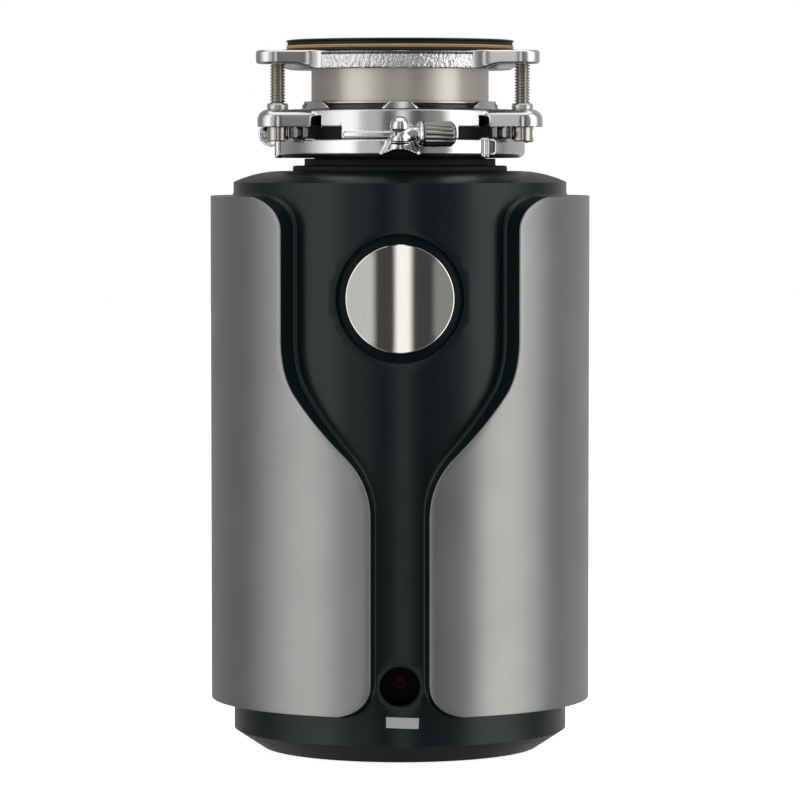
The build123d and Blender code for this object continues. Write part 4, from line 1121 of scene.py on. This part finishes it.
def mounting_field(p):
    bore = neck_r + 0.3
    skirt_bore = ring_r - skirt_wall
    tab_half = 1.8
    notch_ahead = 15.2
    notch_half = 2.3
    body = ring_field(p, ring_r, bore, ring_low, ring_top, 1.0)
    domes = ears_field(p, ring_low - 6.0, ring_top, dome=5.2, tip_r=10.0)
    domes = np.maximum(domes, ring_low - p[:, 2])
    body = smooth_union(body, domes, 1.2)
    collar = ring_field(p, ring_collar_r, bore, ring_top - 2, snap_low - seat_gap, 0.5)
    body = smooth_union(body, collar, 0.8)
    for angle in lug_angles:
        q = seen_from(p, angle)
        skirt = ring_field(q, ring_r, skirt_bore, lock_top + 0.35, ring_low + 2, 0.3)
        skirt = np.maximum(skirt, sector_field(q, -30.0, 30.0))
        ledge = ring_field(q, ledge_r, skirt_bore, skirt_low, skirt_low + ledge_t, 0.6)
        ledge = np.maximum(ledge, sector_field(q, -28.0, 22.0))
        stop = ring_field(q, ledge_r, skirt_bore, skirt_low, ring_low + 0.4, 0.6)
        stop = np.maximum(stop, sector_field(q, 5.5, 8.5))
        body = smooth_union(body, skirt, 0.8)
        body = smooth_union(body, ledge, 0.8)
        body = smooth_union(body, stop, 0.6)
        for middle, width in ((0.0, 11.0), (61.0, 14.0)):
            tab = ring_field(q, ring_collar_r + 0.6, snap_r + 0.1,
                             ring_top, snap_top - seat_gap, 0.7)
            lean = 1.1 * (q[:, 2] - ring_top)
            tab = np.maximum(tab, sector_field(q, middle - width, middle + width) + lean)
            body = smooth_union(body, tab, 0.5)
        for middle in (-65.0, 65.0):
            tab = ring_field(q, ring_r, ring_r - 3.4, ring_low - 5.4, ring_low + 1.0, 0.8)
            tab = np.maximum(tab, sector_field(q, middle - tab_half, middle + tab_half))
            body = smooth_union(body, tab, 0.6)
    for angle in ear_angles:
        q = seen_from(p, angle)
        hole = np.hypot(q[:, 0], q[:, 1] + screw_circle) - screw_r - 0.12
        body = np.maximum(body, -hole)
        for side in (-1, 1):
            notch = ring_field(q, ring_r + 3.0, ring_r - 4.5, ring_low - 2.0, ring_low + 5.4, 0.3)
            middle = side * notch_ahead
            notch = np.maximum(notch, sector_field(q, middle - notch_half, middle + notch_half))
            body = smooth_cut(body, notch, 0.3)
    return body


def along_screw(q):
    """Points seen from the front lug's post, with X along the locking screw."""
    turn = radians(screw_turn)
    x = q[:, 0]
    y = q[:, 1] + lug_r
    return np.stack([x * cos(turn) + y * sin(turn), y * cos(turn) - x * sin(turn), q[:, 2]], 1)


def lug_field(q):
    """One lug of the lock ring, at the front."""
    post_r = 4.8
    pinch_depth = 1.1
    pinch_drop = 3.4
    pinch_half = 2.6
    bridge_half = 2.6
    crown = lock_high - post_r
    foot = lock_top - 1.3
    post = rod_field(q, (0, -lug_r, foot - 6.0), (0, -lug_r, lock_high), post_r, post_r - seat_gap)
    below = rod_field(q, (0, -lug_r, foot), (0, -lug_r, crown + 0.5), post_r, 0.6)
    post = np.where(q[:, 2] < crown, below, post)
    pinch = np.clip(1 - np.abs(q[:, 2] - crown + pinch_drop) / pinch_half, 0.0, 1.0)
    post = post + pinch_depth * pinch * pinch * (3 - 2 * pinch)
    bridge_from = ledge_r + 0.3
    bridge = box_field(q, (0, -(lug_r + bridge_from) / 2, foot + bridge_half),
                       (lug_half, (lug_r - bridge_from) / 2, bridge_half), 0.8)
    flare = cone_field(q, (0, 1.0 - lock_r, lock_top - 7.7), (0, 1.0 - lock_r, lock_top + 0.3),
                       9.0, post_r, 0.7)
    s = along_screw(q)
    barrel = rod_field(s, (-0.5, 0, barrel_z), (9.0, 0, barrel_z), 3.6, 0.3)
    cup = cone_field(s, (8.7, 0, barrel_z), (10.5, 0, barrel_z), 5.2, 6.6, 0.35)
    lug = smooth_union(post, bridge, 1.2)
    lug = smooth_union(lug, flare, 3.2)
    lug = smooth_union(lug, barrel, 1.2)
    return smooth_union(lug, cup, 0.7)


def lock_field(p):
    round_r = 3.6
    rib_ahead = 42.0
    rib_half = 5.1
    pocket_ahead = 46.8
    body = np.where(p[:, 2] < lock_low + round_r,
                    ring_field(p, lock_r, lock_bore, lock_low, lock_top, round_r),
                    ring_field(p, lock_r, lock_bore, lock_low, lock_top, 0.9))
    hook_low = skirt_low + ledge_t + 0.3
    hook_half = 1.8
    hook_r = ring_r + 0.3
    for angle in lug_angles:
        q = seen_from(p, angle)
        body = smooth_union(body, lug_field(q), 1.6)
        hook = box_field(q, (0, -(lug_r + hook_r) / 2, hook_low + hook_half),
                         (lug_half, (lug_r - hook_r) / 2, hook_half), 0.5)
        hook = np.maximum(hook, hook_r - np.hypot(p[:, 0], p[:, 1]))
        body = smooth_union(body, hook, 0.6)
        side = seen_from(p, angle + rib_ahead)
        middle = lock_low + rib_half
        rib = box_field(side, (0, -lock_r + 0.7, middle), (2.3, 1.8, rib_half), 0.9)
        slit = box_field(side, (0, -lock_r - 1.3, middle), (0.4, 1.6, 6.0), 0.2)
        body = smooth_union(body, smooth_cut(rib, slit, 0.4), 0.8)
        side = seen_from(p, angle + pocket_ahead)
        pocket = box_field(side, (0, -lock_r - 0.4, lock_low + 5.6), (1.6, 1.4, 3.0), 0.4)
        body = smooth_cut(body, pocket, 0.3)
    for angle in lug_angles:
        q = seen_from(p, angle)
        below = lock_low - 10.0
        scallop = rod_field(q, (0, -lug_r - 8.0, below), (0, 3.0 - lock_bore, below), 14.5, 0.4)
        body = smooth_cut(body, scallop, 0.5)
        s = along_screw(q)
        bore = rod_field(s, (-3.0, 0, barrel_z), (12.0, 0, barrel_z), 2.85, 0.2)
        mouth = cone_field(s, (9.5, 0, barrel_z), (11.2, 0, barrel_z), 2.9, 6.2, 0.1)
        body = np.maximum(body, -np.minimum(bore, mouth))
    return body


def cast_parts():
    hammer_zone(backup_chrome, (neck_r, backup_r + 0.6, backup_low - 1.0, backup_top - 0.9))
    # Painted shade: a dark bluish band is painted round the backup flange just below its top.
    tint_places(backup_chrome, [(neck_r, backup_r + 0.6, backup_top - 2.3, backup_top - 1.0)],
                (0.10, 0.11, 0.15))
    # Painted shade: the mounting ring's collar, its top face and its notches are painted nearly
    # black.
    tint_places(ring_chrome, [(neck_r, ring_collar_r + 0.2, ring_top - 0.3, snap_top + 1.0),
                              (neck_r, ring_r - 0.6, ring_top - 0.3, ring_top + 0.5),
                              (neck_r, ring_r - 0.4, ring_low + 0.3, ring_low + 5.6)],
                (0.05, 0.055, 0.06))
    # Painted shade: the lock ring's pockets and cuts, set in from its outer face, are painted dark.
    tint_places(lock_chrome, [(lock_bore, lock_r - 0.25, lock_low + 2.5, lock_top - 0.8)],
                (0.10, 0.10, 0.11))
    castings = [
        ("backup_casting", "housing", backup_chrome, "backup_flange",
         backup_field, backup_low, backup_top),
        ("mounting_casting", "housing", ring_chrome, "mounting_ring",
         mounting_field, skirt_low, snap_top),
        ("lock_casting", "lock_ring", lock_chrome, "lock_ring",
         lock_field, lock_low, lock_high),
    ]
    for name, body, material, node, field, bottom, top in castings:
        points, faces = cast(field, (-cast_reach, -cast_reach, bottom - cast_margin),
                             (cast_reach, cast_reach, top + cast_margin), cast_cell)
        make_piece(name, body, "bright_chrome", material, points, faces, (node,), sharp=60.0)


# Knob, screws, snap ring and collar

def knob():
    """The locking screw's knurled knob, with straight flutes along its barrel. A station is
    its place along the axis, its radius and the depth of the flutes."""
    flutes = 18
    per_flute = 8
    around = flutes * per_flute
    bore_r = 2.6
    bore_depth = 9.0
    end = knob_length
    stations = [(0.0, 4.2, 0.0), (0.0, 5.4, 0.0), (0.4, 6.0, 0.0), (0.8, knob_r, 0.4),
                (1.1, knob_r, 1.0), (end - 2.4, knob_r, 1.0), (end - 1.9, knob_r - 0.15, 0.6),
                (end - 0.7, knob_r - 1.1, 0.2), (end - 0.2, knob_r - 1.6, 0.0),
                (end, knob_r - 2.1, 0.0), (end, 3.0, 0.0),
                (end - 0.5, 2.2, 0.0), (end - 0.5, 0.01, 0.0)]
    points = []
    for x, radius, cut in stations + [(0.0, bore_r, 0.0), (bore_depth, bore_r, 0.0)]:
        for k in range(around):
            angle = 2 * pi * k / around
            flute = max(0.0, 1 - abs((k % per_flute) - per_flute / 2) / 2.6) ** 0.5
            r = radius - cut * 0.5 * flute
            points.append((knob_from + x, r * cos(angle), r * sin(angle)))
    faces = tube_faces(len(stations) - 1, around)
    start = len(stations) * around
    for k in range(around):
        j = (k + 1) % around
        faces.append([k, j, start + j, start + k])
        faces.append([start + k, start + j, start + around + j, start + around + k])
    faces.append(ring_face(start + around, around))
    faces.append(ring_face(start - around, around))
    place = Matrix.Translation((0, -lug_r, barrel_z)) @ about_z(screw_turn)
    make_piece("knurled_knob", "lock_knob", "bright_chrome", knob_chrome, turned(points, place),
               faces, ("lock_knob",), sharp=50.0)


def screws():
    """Three mounting screws with a true helical thread above their collars."""
    pitch = 1.5
    depth = 1.05
    rows_per_turn = 12
    around = 48
    head_r = 5.1
    nut_r = 5.2
    nut_top = ring_top + 3.0
    head = [(0, screw_low + 1.6, 0), (2.2, screw_low + 1.6, 0), (2.6, screw_low, 0.2),
            (head_r, screw_low, 0.7), (head_r, ring_low - seat_gap, 0.3),
            (screw_r - 0.1, ring_low - seat_gap, 0), (screw_r - 0.1, nut_top, 0), (0, nut_top, 0)]
    shaft = []
    rows = int((screw_top - nut_top) / (pitch / rows_per_turn))
    for n in range(rows + 1):
        z = nut_top + (screw_top - nut_top) * n / rows
        for k in range(around):
            turn = ((z - nut_top) / pitch - k / around) % 1.0
            wave = 1 - abs(2 * turn - 1)
            r = screw_r - depth * (1 - min(1.0, wave * 1.1))
            angle = 2 * pi * k / around
            shaft.append((r * cos(angle), r * sin(angle), z))
    thread = tube_faces(rows, around) + [ring_face(0, around), ring_face(rows * around, around)]
    nut = [(screw_r + 0.05, ring_top + seat_gap, 0), (nut_r, ring_top + seat_gap, 0.3),
           (nut_r, ring_top + 2.2, 0.4), (4.7, nut_top, 0.3), (screw_r + 0.05, nut_top, 0)]
    places = [about_z(angle) @ Matrix.Translation((0, -screw_circle, 0)) for angle in ear_angles]
    screw_parts = []
    for place in places:
        screw_parts += [lathe(head, 48, place), (turned(shaft, place), thread)]
    make_piece("threaded_screws", "housing", "satin_steel", thread_steel,
               *join_parts(screw_parts), ("mounting_screws",), sharp=30.0)
    make_piece("screw_rings", "housing", "satin_steel", plain_steel,
               *join_parts([lathe(nut, 48, place) for place in places]), ("screw_collars",))


def snap_wire():
    """Split ring that sits in the neck's groove."""
    gap = asin(3.0 / snap_r)
    steps = 150
    inner = neck_r - 0.35
    section = rounded([(inner, snap_low, 0.3), (snap_r, snap_low, 0.45),
                       (snap_r, snap_top, 0.45), (inner, snap_top, 0.3)], 4)
    points = []
    for k in range(steps + 1):
        angle = pi / 2 + gap + (2 * pi - 2 * gap) * k / steps
        points += [(r * cos(angle), r * sin(angle), z) for r, z in section]
    count = len(section)
    faces = tube_faces(steps, count) + [ring_face(0, count), ring_face(steps * count, count)]
    make_piece("snap_wire", "housing", "satin_steel", plain_steel, points, faces, ("snap_ring",))


def throat_parts():
    flange_top = collar_low + 2.7
    sleeve_r = 47.9
    collar = [(collar_bore, collar_low + seat_gap, 0), (collar_r, collar_low + seat_gap, 0.3),
              (collar_r, flange_top, 1.0), (sleeve_r, flange_top, 0.6), (sleeve_r, collar_top, 0.5),
              (collar_bore, collar_top, 0.3)]
    make_piece("rubber_collar", "housing", "black_rubber", rubber_black,
               *lathe(collar, 220), ("throat_collar",))


# Studio

floor_size = 12.0
floor_drop = 0.3

# Room light: its level behind and in front, then each box as the azimuths from the front
# where it starts, is full, is full still and ends, its lowest and highest elevation, all in
# degrees, and its strength. All fade above and below over the same angle.
room_back = 0.33
room_front = 0.06
box_fade = 12.0
soft_boxes = [
    (-112.0, -56.0, -45.0, -37.0, -25.0, 45.0, 1.30),
    (-44.0, -37.0, -20.0, -14.5, -25.0, 45.0, 0.55),
    (-5.5, -1.0, 5.0, 10.5, -25.0, 40.0, 1.1),
    (20.0, 26.0, 40.0, 50.0, -25.0, 45.0, 0.22),
    (42.0, 53.0, 70.0, 112.0, -25.0, 45.0, 1.62),
    (100.0, 125.0, 160.0, 179.0, -25.0, 45.0, 0.18),
    (-181.0, -180.0, 180.0, 181.0, 62.0, 118.0, 1.2),
]


def soft_step(nodes, value, start, stop):
    """1 on start's side, changing smoothly to 0 at stop."""
    return map_range(nodes, value, start, stop, 1.0, 0.0, smooth=True)


def studio():
    """White floor, and a room of soft boxes round the part and above it."""
    bpy.ops.mesh.primitive_plane_add(size=floor_size, location=(0, 0, -floor_drop * MM))
    floor = bpy.context.object
    floor.name = "floor"
    floor.visible_glossy = False
    floor.visible_diffuse = False
    white = new_material("floor_white", (0.8, 0.8, 0.8), 0.9, specular=0.0)
    shader = shader_of(white)
    shader.inputs["Emission Color"].default_value = (1.0, 1.0, 1.0, 1.0)
    shader.inputs["Emission Strength"].default_value = 0.9
    floor.data.materials.append(white)

    world = bpy.data.worlds.new("studio")
    scene.world = world
    world.use_nodes = True
    nodes = world.node_tree.nodes
    links = world.node_tree.links
    where = nodes.new("ShaderNodeTexCoord")
    split = nodes.new("ShaderNodeSeparateXYZ")
    links.new(where.outputs["Generated"], split.inputs["Vector"])
    x, y, z = split.outputs
    ahead = math_node(nodes, "MULTIPLY", y, -1.0)
    azimuth = math_node(nodes, "ARCTAN2", x, ahead)
    lift = math_node(nodes, "ARCSINE", z)
    light = soft_step(nodes, y, 1.0, -0.5)
    light = math_node(nodes, "MULTIPLY", light, room_back - room_front)
    light = math_node(nodes, "ADD", light, room_front)
    for start, full_from, full_to, end, bottom, top, strength in soft_boxes:
        part = soft_step(nodes, azimuth, radians(full_from), radians(start))
        fall = soft_step(nodes, azimuth, radians(full_to), radians(end))
        part = math_node(nodes, "MULTIPLY", part, fall)
        level = math_node(nodes, "SUBTRACT", lift, radians((bottom + top) / 2))
        level = math_node(nodes, "ABSOLUTE", level)
        reach = (top - bottom) / 2
        level = soft_step(nodes, level, radians(reach), radians(reach + box_fade))
        part = math_node(nodes, "MULTIPLY", part, level)
        part = math_node(nodes, "MULTIPLY", part, strength)
        light = math_node(nodes, "ADD", light, part)
    back = nodes["Background"]
    back.inputs["Color"].default_value = (1.0, 1.0, 1.0, 1.0)
    back.inputs["Strength"].default_value = 1.0
    room = nodes.new("ShaderNodeBackground")
    room.inputs["Color"].default_value = (1.0, 0.985, 0.96, 1.0)
    links.new(light, room.inputs["Strength"])
    path = nodes.new("ShaderNodeLightPath")
    mix = nodes.new("ShaderNodeMixShader")
    links.new(path.outputs["Is Camera Ray"], mix.inputs["Fac"])
    links.new(room.outputs["Background"], mix.inputs[1])
    links.new(back.outputs["Background"], mix.inputs[2])
    links.new(mix.outputs["Shader"], nodes["World Output"].inputs["Surface"])


body_tube()
side_pieces("left")
side_pieces("right")
badge()
covers()
lower_parts()
sticker()
sink_parts()
cast_parts()
knob()
screws()
snap_wire()
throat_parts()
dress_nodes()
studio()
